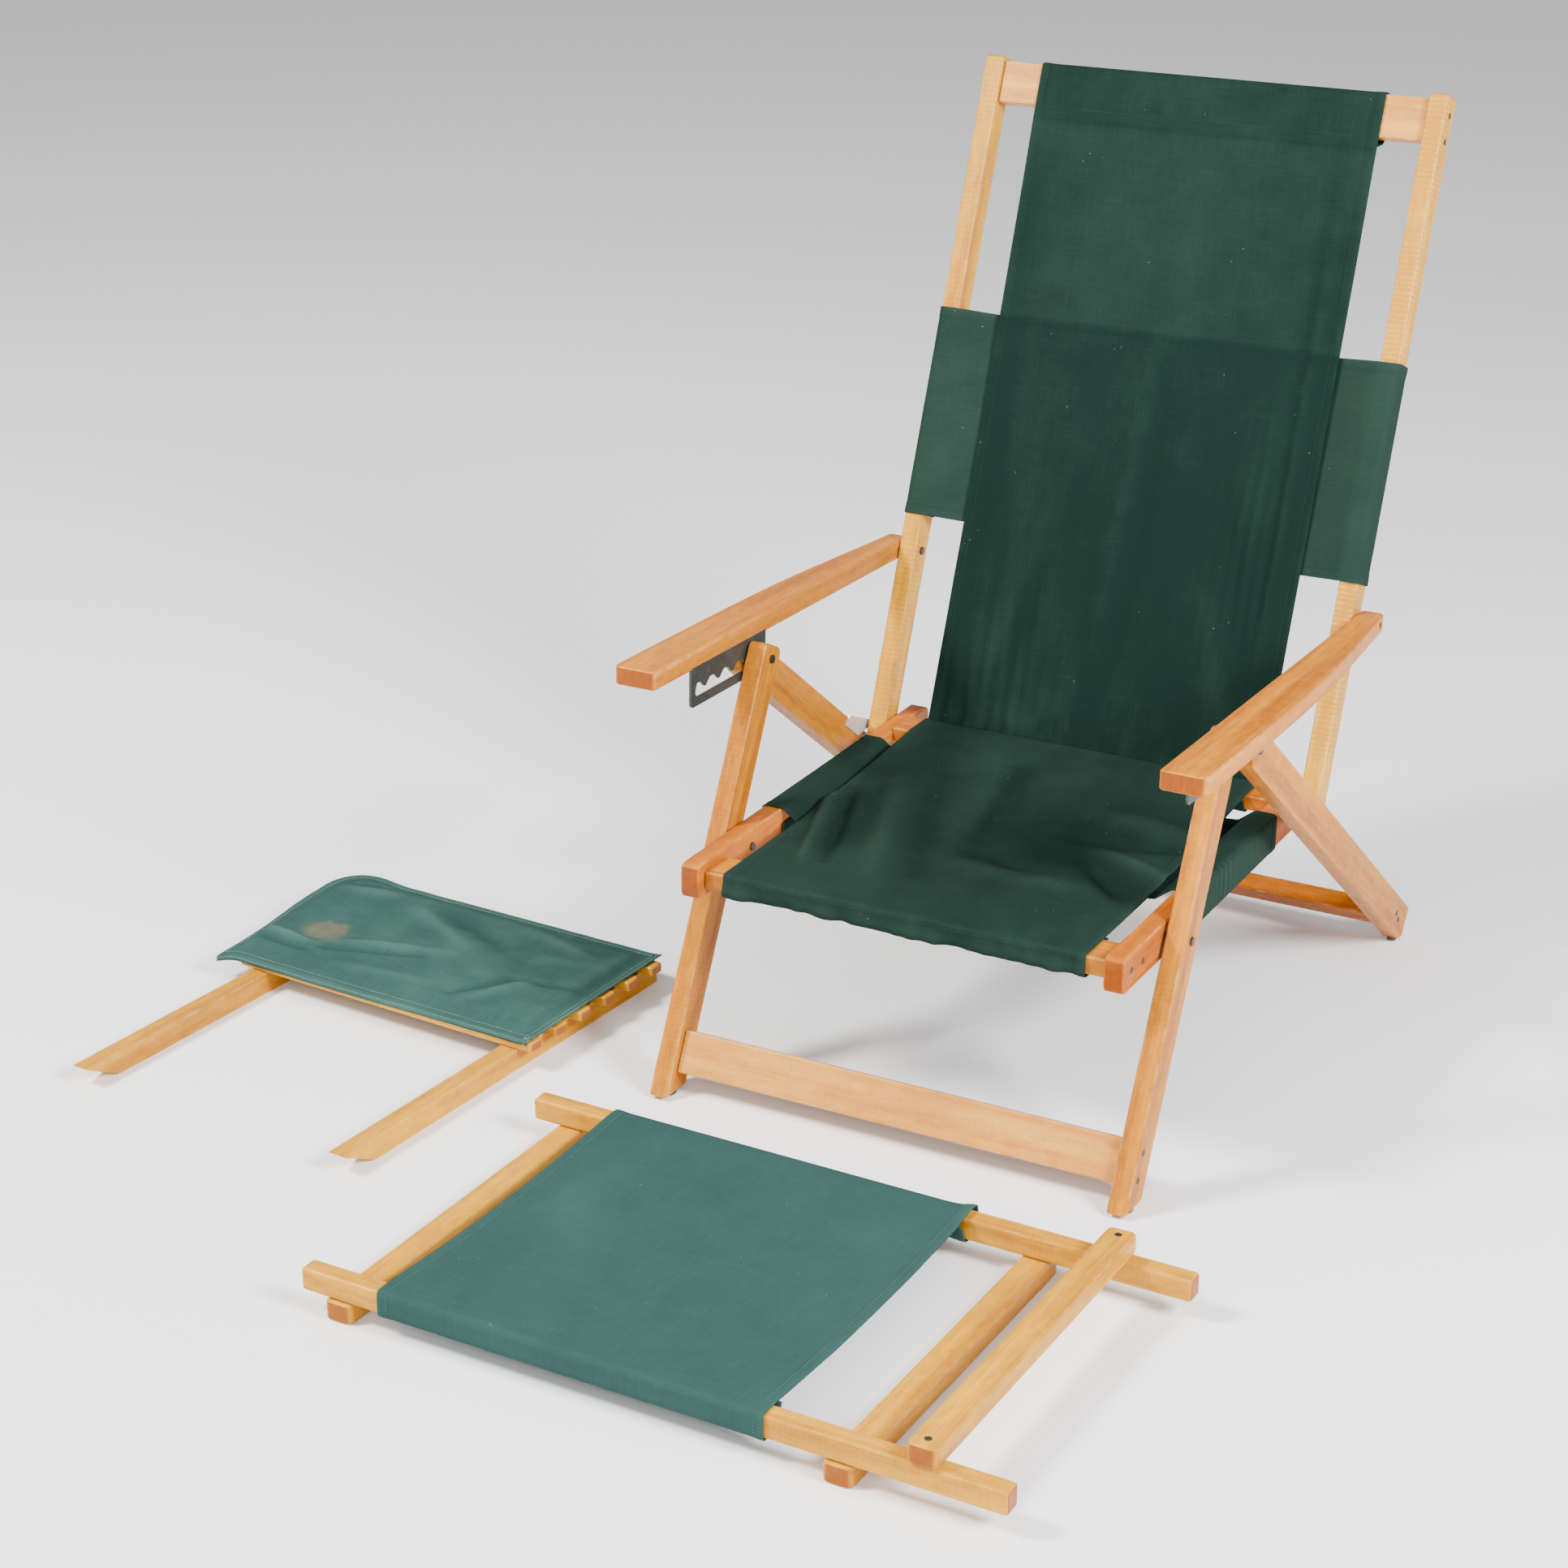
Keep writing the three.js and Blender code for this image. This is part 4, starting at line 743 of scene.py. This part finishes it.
def back_sling(looks):
    face, high, low = 0.01105, 0.80805, 0.749
    foot, top = (0.02, 0.0045), (0.758, face)
    corners = [foot] + sag_line(foot, top, 0.004)
    corners += [top, (high, face), (high, -face), (0.7559, -face), (low, face - 0.0032)]

    folds = (
        (0.0024, (0.155, 0.02), (0.1, 0.24), 0.012),
        (-0.0022, (0.18, 0.05), (0.12, 0.3), 0.012),
        (0.002, (-0.03, 0.02), (-0.01, 0.5), 0.012),
        (-0.002, (0.0, 0.02), (0.015, 0.5), 0.012),
        (0.0022, (-0.16, 0.02), (-0.13, 0.2), 0.01),
        (-0.0022, (-0.13, 0.02), (-0.1, 0.26), 0.012),
        (0.0018, (0.178, 0.1), (0.18, 0.66), 0.008),
        (-0.002, (0.165, 0.12), (0.168, 0.7), 0.009),
    )

    def ripple(x, along, out):
        span = smooth_step(0.03, 0.14, along) * (1 - smooth_step(0.68, 0.752, along)) * (out > -0.008)
        push = span * (0.0012 * wander(x, along, 6, 11) + 0.0004 * wander(x, along, 22, 12))
        push -= 0.0014 * span * bump_at(x, 0.02, 0.13) * bump_at(along, 0.3, 0.2)
        right = bump_at(x, 0.15, 0.045) * bump_at(along, 0.27, 0.13)
        push += 0.0013 * right * math.sin(x * 400 + 2 * wander(x, along, 9, 2))
        left = bump_at(x, -0.13, 0.06) * bump_at(along, 0.1, 0.07)
        push += 0.0012 * left * math.sin(x * 330 + 2 * wander(x, along, 9, 5))
        for height, one, two, width in folds:
            push += span * height * valley(x, along, one, two, width)
        gather = bump_at(along, 0.03, 0.03)
        push += gather * (0.003 * wander(x, along * 0.25, 62, 8) + 0.0018 * wander(x, along * 0.3, 120, 4))
        push = push if along < 0.75 else max(push, 0.0)
        return push + hem_relief(sling_half_width - abs(x))

    def tint(x, along, out):
        """One layer lets light through over the band's edge; the turned top is double."""
        shade = 0.24 * smooth_step(0.506, 0.513, along) - 0.15
        shade -= 0.1 * smooth_step(0.742, 0.75, along)
        # Painted shade: dark lines at the band's edge and at the top seam, dark streaks of folds low down,
        # and darker strips near both sides.
        shade -= 0.16 * bump_at(along, 0.506, 0.004) + 0.22 * bump_at(along, 0.742, 0.0025)
        lower = 1 - smooth_step(0.3, 0.52, along)
        shade -= 0.24 * lower * max(wander(x, along * 0.12, 42, 51), 0)
        side = abs(x) - 0.155
        return shade - 0.2 * smooth_step(0.0, 0.04, side) * smooth_step(0.75, 0.6, along)

    cloth = Cloth(corners, 0.0052, -sling_half_width, sling_half_width, back_pivot,
                  (across, post_up, post_front), ripple, tint)
    rows = hem_seams(cloth, (0.004, 0.735))
    rows.append(seam(cloth, (-0.205, 0.737), (0.205, 0.737)))
    make_cloth("back_sling", cloth, rows, looks, "back", "back_sling",
               coarse=0.004)


def back_side_band(looks, metal):
    low, high = 0.262, 0.51
    corners = side_band_corners(0.26, 0.282, 0.01615, -0.01615, 0.0162)

    def ripple(t, x, out):
        along = -t
        side = abs(x)
        flat = 0.0006 * wander(x, along, 15, 6) if band_shows_from < side < 0.257 else 0.0
        outer = smooth_step(0.282, 0.2828, side) * (abs(out) < 0.0155)
        push = flat + outer * 0.0005 * abs(wander(along, out, 18, 3))
        push -= 0.0075 * max(1 - (side / 0.212) ** 2, 0)
        return push + hem_relief(min(along - low, high - along)) * (side > band_shows_from)

    # Painted light: the band is lighter where it shows past the sling's edge, as light through a single
    # layer.
    def tint(t, x, out):
        return 0.36 * smooth_step(0.209, 0.214, abs(x))

    cloth = Cloth(corners, 0.0045, -high, -low, back_pivot, (-post_up, across, post_front), ripple, tint)
    rows = hem_seams(cloth, (0.01, 0.135), (cloth.length - 0.135, cloth.length - 0.01))
    make_cloth("back_band", cloth, rows, looks, "back", "back_band")
    # A snap stud closes each inner end round its post
    for side, name in ((-1, "left"), (1, "right")):
        inner = back_pivot + Vector((side * 0.2581, 0, 0)) + post_up * 0.498 + post_front * -0.008
        stud = lathe([(0, 0.0016), (0.0016, 0.0015), (0.0024, 0.0009), (0.0034, 0.0011), (0.0041, 0.0006),
                      (0.0042, 0)], inner, Vector((-side, 0, 0)))
        piece_from(stud, "band_snap_" + name, metal, "back")


def leg_rest_sling(looks):
    head, foot = 0.092, 0.515
    far, near = 0.00105, -0.42565
    top, low = 0.04805, 0.02095
    far_inner, near_inner = -0.02305, -0.40155
    start, end = (near_inner, top), (far_inner, top)
    corners = [(near_inner + 0.009, top - 0.0045), (near_inner, low), (near, low), (near, top), start]
    corners += sag_line(start, end, 0.007)
    corners += [end, (far, top), (far, low), (far_inner, low), (far_inner - 0.009, top - 0.0045)]

    def ripple(u, v, z):
        span = smooth_step(-0.4, -0.34, v) * (1 - smooth_step(-0.1, -0.03, v)) * (z > 0.04)
        push = span * (0.0009 * wander(u, v, 8, 21) + 0.0003 * wander(u, v, 30, 22))
        push += 0.0018 * span * valley(u, v, (0.12, -0.08), (0.2, -0.3), 0.03)
        face = (z < 0.047) * (v < -0.42)
        push += face * 0.0005 * abs(wander(u, z, 26, 24))
        fold = -0.0004 * bump_at(z, 0.031, 0.0012) * face
        corner = 0.0035 * bump_at(u, foot, 0.016) * smooth_step(-0.05, -0.012, v) * (z > 0.04)
        return push + fold + corner + hem_relief(min(u - head, foot - u))

    turn = leg_rest_frame.to_3x3()
    cloth = Cloth(corners, 0.0045, head, foot, leg_rest_frame.translation,
                  (turn @ across, turn @ rearward, upward), ripple)
    rows = hem_seams(cloth, (0.03, cloth.length - 0.03))
    make_cloth("leg_rest", cloth, rows, looks, "leg_rest", "leg_rest_sling")


# ------------------------------------------------------------------- the pad
# Two cloths sewn along a flat edge with a thin filling, on the foot panel's slats
pad_left, pad_right, pad_near, pad_far = -0.054, 0.404, 0.0, 0.261
pad_bed = 0.0371
slats_left = -0.0203
# The first slat's near face lies before the pad's own edge, and runs at a slant to it
slat_face, slat_slant = 0.001, 0.0192
pad_turn = Matrix.Rotation(math.radians(1.1), 4, "Z")
pad_frame = foot_panel_frame @ Matrix.Translation((0, 0.298, 0)) @ pad_turn
pad_creases = (
    (0.0030, (-0.062, 0.066), (0.045, 0.062), 0.0054),
    (-0.0026, (-0.062, 0.05), (0.045, 0.046), 0.0048),
    (-0.0022, (0.03, 0.056), (0.18, 0.103), 0.0054),
    (0.0018, (0.05, 0.08), (0.2, 0.125), 0.0082),
    (-0.0026, (-0.02, 0.222), (0.035, 0.246), 0.0061),
    (0.0020, (-0.03, 0.2), (0.04, 0.226), 0.0082),
    (0.0020, (0.08, 0.21), (0.2, 0.15), 0.0109),
    (-0.0018, (0.1, 0.235), (0.24, 0.17), 0.0122),
    (-0.0024, (0.235, 0.245), (0.315, 0.236), 0.0061),
    (0.0018, (0.24, 0.225), (0.35, 0.2), 0.0095),
    (-0.0024, (0.255, 0.04), (0.3, 0.105), 0.0061),
    (0.0020, (0.28, 0.035), (0.33, 0.12), 0.0082),
    (-0.0018, (0.29, 0.105), (0.38, 0.125), 0.0068),
    (0.0016, (0.1, 0.035), (0.22, 0.05), 0.0095),
    (0.0014, (0.3, 0.17), (0.39, 0.19), 0.0109),
)


def pad_edge(x, y):
    """How far a place of the pad is from its nearest edge."""
    return min(x - pad_left, pad_right - x, y - pad_near, pad_far - y)


def pad_lift(x, y):
    """The upper cloth's height: a flat sewn edge, the filling, folds and billows."""
    edge = pad_edge(x, y)
    flange = 0.0013 * smooth_step(-0.0002, 0.0012, edge)
    puff = 0.0056 * smooth_step(0.0085, 0.03, edge)
    billow = 0.0022 * wander(x, y, 13, 31) + 0.0009 * wander(x, y, 34, 32)
    for height, start, end, width in pad_creases:
        billow += 2.1 * height * valley(x, y, start, end, width)
    pinch = 0.0005 * wander(x, y, 70, 33) * bump_at(edge, 0.012, 0.006)
    return flange + puff + billow * smooth_step(0.009, 0.024, edge) + pinch


def pad_bend(x, y):
    """The near left corner droops past the slats, the far one stands up."""
    past = max(slats_left - x, 0) / (slats_left - pad_left)
    droop = -0.0085 * past ** 1.5 * (1 - smooth_step(0.08, 0.24, y))
    stand_up = 0.0068 * smooth_step(0.04, pad_left, x) * min(y / 0.21, 1)
    right_edge = 0.0012 * smooth_step(0.385, pad_right, x) * (1 + wander(y, 0.2, 30, 35))
    return droop + stand_up + right_edge


def pad_plan(x, y):
    """The far left corner is rounded and the left edge bows out a little."""
    reach = 0.052
    dx, dy = (pad_left + reach) - x, y - (pad_far - reach)
    if dx > 0 and dy > 0:
        share = max(dx, dy) / math.hypot(dx, dy)
        x, y = (pad_left + reach) - dx * share, (pad_far - reach) + dy * share
    bow = -0.006 * bump_at(y, 0.15, 0.07) * smooth_step(0.02, pad_left, x)
    return x + bow + 0.0006 * wander(y, 0.1, 40, 37), y + 0.0007 * wander(x, 0.3, 30, 38)


def pad_point(x, y, height):
    """The pad lies flat, and its near hem turns down over the first slat."""
    flat_x, flat_y = pad_plan(x, y)
    turn_at, soft, clear = 0.014, 0.0012, 0.002
    to_fold = turn_at + slat_face + slat_slant * x + clear
    hang = 0.0062 - 0.0036 * smooth_step(0.1, 0.38, x)
    way = max(1 - y / turn_at, 0) * (to_fold + hang)
    level = -soft * math.log(math.exp(-way / soft) + math.exp(-to_fold / soft))
    down = 1 / (1 + math.exp((to_fold - way) / soft))
    scale = height / math.hypot(down, 1 - down)
    flat_y += max(turn_at - y, 0) - level - scale * down
    rise = scale * (1 - down) - way + level + pad_bend(x, y)
    return pad_frame @ Vector((flat_x, flat_y, pad_bed + rise))


def pad_cloth(canvas):
    xs = column_marks(pad_left, pad_right, 0.0016, 0.0036, 0.018)
    ys = column_marks(pad_near, pad_far, 0.0016, 0.0036, 0.018)
    shape = bmesh.new()
    lengths = shape.loops.layers.uv.new("cloth_lengths")
    fade = shape.verts.layers.float.new("fade")
    stain = shape.verts.layers.float.new("stain")
    for under in (False, True):
        made = marked_grid(shape, xs, ys)
        for vertex, x, y in made:
            edge = pad_edge(x, y)
            rise = 0.0 if under else pad_lift(x, y)
            if edge < 1e-6:
                rise = 0.0006
            vertex.co = pad_point(x, y, rise)
            vertex[fade] = 0.3 * bump_at(edge, 0, 0.004)
            # Painted shade in the valleys and painted light on the puffs, from the upper cloth's height.
            vertex[fade] += 78 * (rise - 0.0067) * smooth_step(0.01, 0.03, edge)
            ragged = 1 + 0.35 * wander(x, y, 60, 36)
            reach = math.hypot((x - 0.034) / 0.034, (y - 0.098) / 0.026) * ragged
            vertex[stain] = 0.6 * smooth_step(1.15, 0.6, reach)
        if under:
            own = {vertex for vertex, _, _ in made}
            bmesh.ops.reverse_faces(shape, faces=[f for f in shape.faces if f.verts[0] in own])
    flat = pad_frame.inverted()
    for face in shape.faces:
        for loop in face.loops:
            spot = flat @ loop.vert.co
            loop[lengths].uv = (spot.x, spot.y - max(pad_bed - spot.z, 0))
    bmesh.ops.remove_doubles(shape, verts=shape.verts, dist=1e-6)
    pad = piece_from(shape, "foot_panel_pad_cloth", canvas, "foot_panel")
    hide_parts("foot_panel_pad")


def pad_seams(thread):
    """Two rows of stitches round the pad's edge."""
    rows = []
    for inset in (0.0028, 0.0088):
        left, right, near, far = pad_left + inset, pad_right - inset, pad_near + inset, pad_far - inset
        for one, two in (((left, near), (right, near)), ((right, near), (right, far)),
                         ((left, far), (left, near)), ((right, far), (left, far))):
            one, two = Vector(one), Vector(two)
            count = int((two - one).length / 0.005)
            line = []
            for index in range(count + 1):
                x, y = one.lerp(two, index / count)
                line.append((pad_point(x, y, pad_lift(x, y) + 0.00018), upward))
            rows.append(line)
    stitch_rows("foot_panel_stitches", rows, thread, "foot_panel", 0.004, (0.00145, 0.0004))


def pad_fray(thread):
    """Loose threads where the near right corner has frayed."""
    shape = bmesh.new()
    rng = np.random.default_rng(7)
    for _ in range(26):
        x, y = pad_right - 0.004 + rng.normal() * 0.003, pad_near + 0.004 + rng.normal() * 0.003
        spot = pad_point(x, y, 0.0018 + abs(rng.normal()) * 0.0006)
        way = Vector((rng.normal(), rng.normal(), rng.normal() * 0.3)).normalized()
        side = upward.cross(way).normalized()
        up = way.cross(side)
        add_stitch(shape, spot, way * (0.0012 + 0.0012 * rng.random()), side * 0.0003, up * 0.0003)
    piece_from(shape, "pad_corner_fray", thread, "foot_panel")


# ------------------------------------------------------ snaps and screws
def stand(point, outward):
    """The frame of a small round part that faces outward at a point."""
    turn = Vector(outward).to_track_quat("Z", "Y").to_matrix().to_4x4()
    turn.translation = point
    return turn


def lathe(profile, point, outward):
    """A turned shape from (radius, height) corners, its flat back filled."""
    shape = bmesh.new()
    verts = [shape.verts.new((radius, 0, height)) for radius, height in profile]
    for one, two in zip(verts, verts[1:]):
        shape.edges.new((one, two))
    bmesh.ops.spin(shape, geom=shape.verts[:] + shape.edges[:], cent=(0, 0, 0), axis=(0, 0, 1),
                   angle=math.tau, steps=20, use_merge=True)
    bmesh.ops.remove_doubles(shape, verts=shape.verts, dist=1e-7)
    bmesh.ops.holes_fill(shape, edges=[edge for edge in shape.edges if edge.is_boundary], sides=0)
    bmesh.ops.recalc_face_normals(shape, faces=shape.faces)
    bmesh.ops.transform(shape, matrix=stand(point, outward), verts=shape.verts)
    return shape


def screw_head(shape, point, outward, spin):
    """A countersunk head with a cross recess, standing a hair over the timber."""
    before = set(shape.verts)
    radius, taper = 0.0038, 0.86
    disc = bmesh.ops.create_circle(shape, cap_ends=True, segments=24, radius=radius * taper)["verts"]
    face = disc[0].link_faces[0]
    face.normal_update()
    if face.normal.z < 0:
        face.normal_flip()
    skirt = bmesh.ops.extrude_face_region(shape, geom=[face])
    top = [v for v in skirt["geom"] if isinstance(v, bmesh.types.BMVert)]
    for vertex in disc:
        vertex.co.x *= 1 / taper
        vertex.co.y *= 1 / taper
    bmesh.ops.translate(shape, vec=(0, 0, 0.00035), verts=top)
    cap = next(f for f in skirt["geom"] if isinstance(f, bmesh.types.BMFace))
    bmesh.ops.inset_region(shape, faces=[cap], thickness=radius * 0.3, depth=0)
    arm, half = radius * 0.52, radius * 0.15
    for vertex in cap.verts:
        angle = math.atan2(vertex.co.y, vertex.co.x)
        fold = abs((angle + math.pi / 4) % (math.pi / 2) - math.pi / 4)
        reach = arm / math.cos(fold) if math.tan(fold) <= half / arm else half / math.sin(fold)
        vertex.co.x, vertex.co.y = reach * math.cos(angle), reach * math.sin(angle)
    dip = bmesh.ops.extrude_face_region(shape, geom=[cap])
    deep = [v for v in dip["geom"] if isinstance(v, bmesh.types.BMVert)]
    bmesh.ops.translate(shape, vec=(0, 0, -0.0003), verts=deep)
    bmesh.ops.scale(shape, vec=(0.7, 0.7, 1), verts=deep)
    mine = [v for v in shape.verts if v not in before]
    turn = stand(point, outward) @ Matrix.Rotation(spin, 4, "Z")
    bmesh.ops.transform(shape, matrix=turn, verts=mine)


def screws(steel):
    """Every screw that shows, by the body it holds."""
    sets = {
        "seat": [(0.2562, -0.039, 0.257), (0.2562, -0.009, 0.255)],
        "front_legs": [(0.2822, -0.0476, 0.0595), (0.2822, -0.0597, 0.0334)],
        "back": [(0.2822, 0.7296, 0.993), (0.2822, 0.719, 0.966)],
        "rear_legs": [(0.3106, 0.68, 0.047), (0.3106, 0.689, 0.035)],
    }
    for side, name in ((-1, "left"), (1, "right")):
        for body, spots in sets.items():
            shape = bmesh.new()
            for index, (x, y, z) in enumerate(spots):
                spot = chair_origin + Vector((side * x, y, z))
                screw_head(shape, spot, across * side, 0.5 + index * 1.1 + side)
            piece_from(shape, body + "_screws_" + name, steel, body, smooth=False)
    shape = bmesh.new()
    crossbar_middle, crossbar_top = 0.673, 0.06915
    for v, spin in ((-0.011, 1.9664), (-0.4136, 1.4902)):
        spot = leg_rest_frame @ Vector((crossbar_middle, v, crossbar_top))
        screw_head(shape, spot, upward, spin)
    piece_from(shape, "leg_rest_screws", steel, "leg_rest", smooth=False)


# --------------------------------------------------------- timber directions
def dress_timber():
    leg_up = Vector((0, math.sin(front_leg_lean), math.cos(front_leg_lean)))
    arm_way = Vector((0, -math.cos(arm_rise), math.sin(arm_rise)))
    rest_way = leg_rest_frame.to_3x3()
    panel_way = foot_panel_frame.to_3x3()
    for side in ("left", "right"):
        dress_board("front_leg_" + side, honey, leg_up, across, 0.1)
        dress_board("rear_leg_" + side, honey, rear_leg_way, across, 0.1)
        dress_board("seat_rail_" + side, amber, rearward, across, 0.05)
        dress_board("armrest_" + side, gold, arm_way, upward, 0.06)
        dress_board("foot_panel_rail_" + side, straw, panel_way @ rearward, upward, 0.1)
    dress_board("back_post_left", straw, post_up, across, 0.24)
    dress_board("back_post_right", pale_straw, post_up, across, 0.8)
    dress_board("seat_front_rail", honey, across, upward, 0.08)
    dress_board("seat_rear_rail", amber, across, upward, 0.08)
    dress_board("front_stretcher", blond, across, leg_up, 0.08)
    dress_board("rear_stretcher", amber, across, rear_leg_way, 0.08)
    dress_board("back_top_rail", blond, across, post_front, 0.1)
    for name in ("far", "near"):
        dress_board("leg_rest_rail_" + name, straw, rest_way @ across, upward, 0.1)
    for name in ("head", "mid", "top"):
        dress_board("leg_rest_crossbar_" + name, straw, rest_way @ rearward, upward, 0.08)
    for index in range(1, 7):
        dress_board("foot_panel_slat_%d" % index, straw, panel_way @ across, upward, 0.05)


def dress_metal():
    zinc = plated("galvanised_plate", linear(78, 82, 79), linear(56, 60, 57), 0.6, 0.2)
    bright = plated("bright_plate", linear(226, 228, 228), linear(190, 192, 192), 0.6, 0.15)
    dark = plated("dark_screw", linear(92, 84, 74), linear(44, 38, 32), 0.8, 0.4)
    nylon = plated("black_glide", linear(58, 56, 52), linear(24, 22, 20), 0.0, 0.5)
    for side in ("left", "right"):
        finish_node("notch_plate_" + side, zinc)
        finish_node("hook_plate_" + side, bright)
        for name in ("leg_pivot_bolt_", "back_pivot_bolt_", "notch_pin_", "arm_bolt_"):
            finish_node(name + side, dark)
        for name in ("front_glide_", "rear_glide_"):
            finish_node(name + side, nylon)
    return zinc, dark


# ------------------------------------------------------------------ the build
place_camera()
studio()
dress_timber()
zinc_plate, dark_steel = dress_metal()
green_looks = (canvas_look("bottle_green_canvas", bottle_green),
               thread_look("green_thread", linear(24, 46, 38), linear(12, 27, 22)))
teal_looks = (canvas_look("faded_teal_canvas", faded_teal),
              thread_look("teal_thread", linear(84, 122, 112), linear(48, 82, 76)))
pale_thread = thread_look("pale_thread", linear(136, 168, 156), linear(84, 116, 108))

seat_sling(green_looks)
seat_side_band(green_looks)
back_sling(green_looks)
back_side_band(green_looks, zinc_plate)
leg_rest_sling(teal_looks)
pad_cloth(canvas_look("pad_teal_canvas", pad_teal, stain=linear(112, 98, 78)))
pad_seams(pale_thread)
pad_fray(pale_thread)
screws(dark_steel)
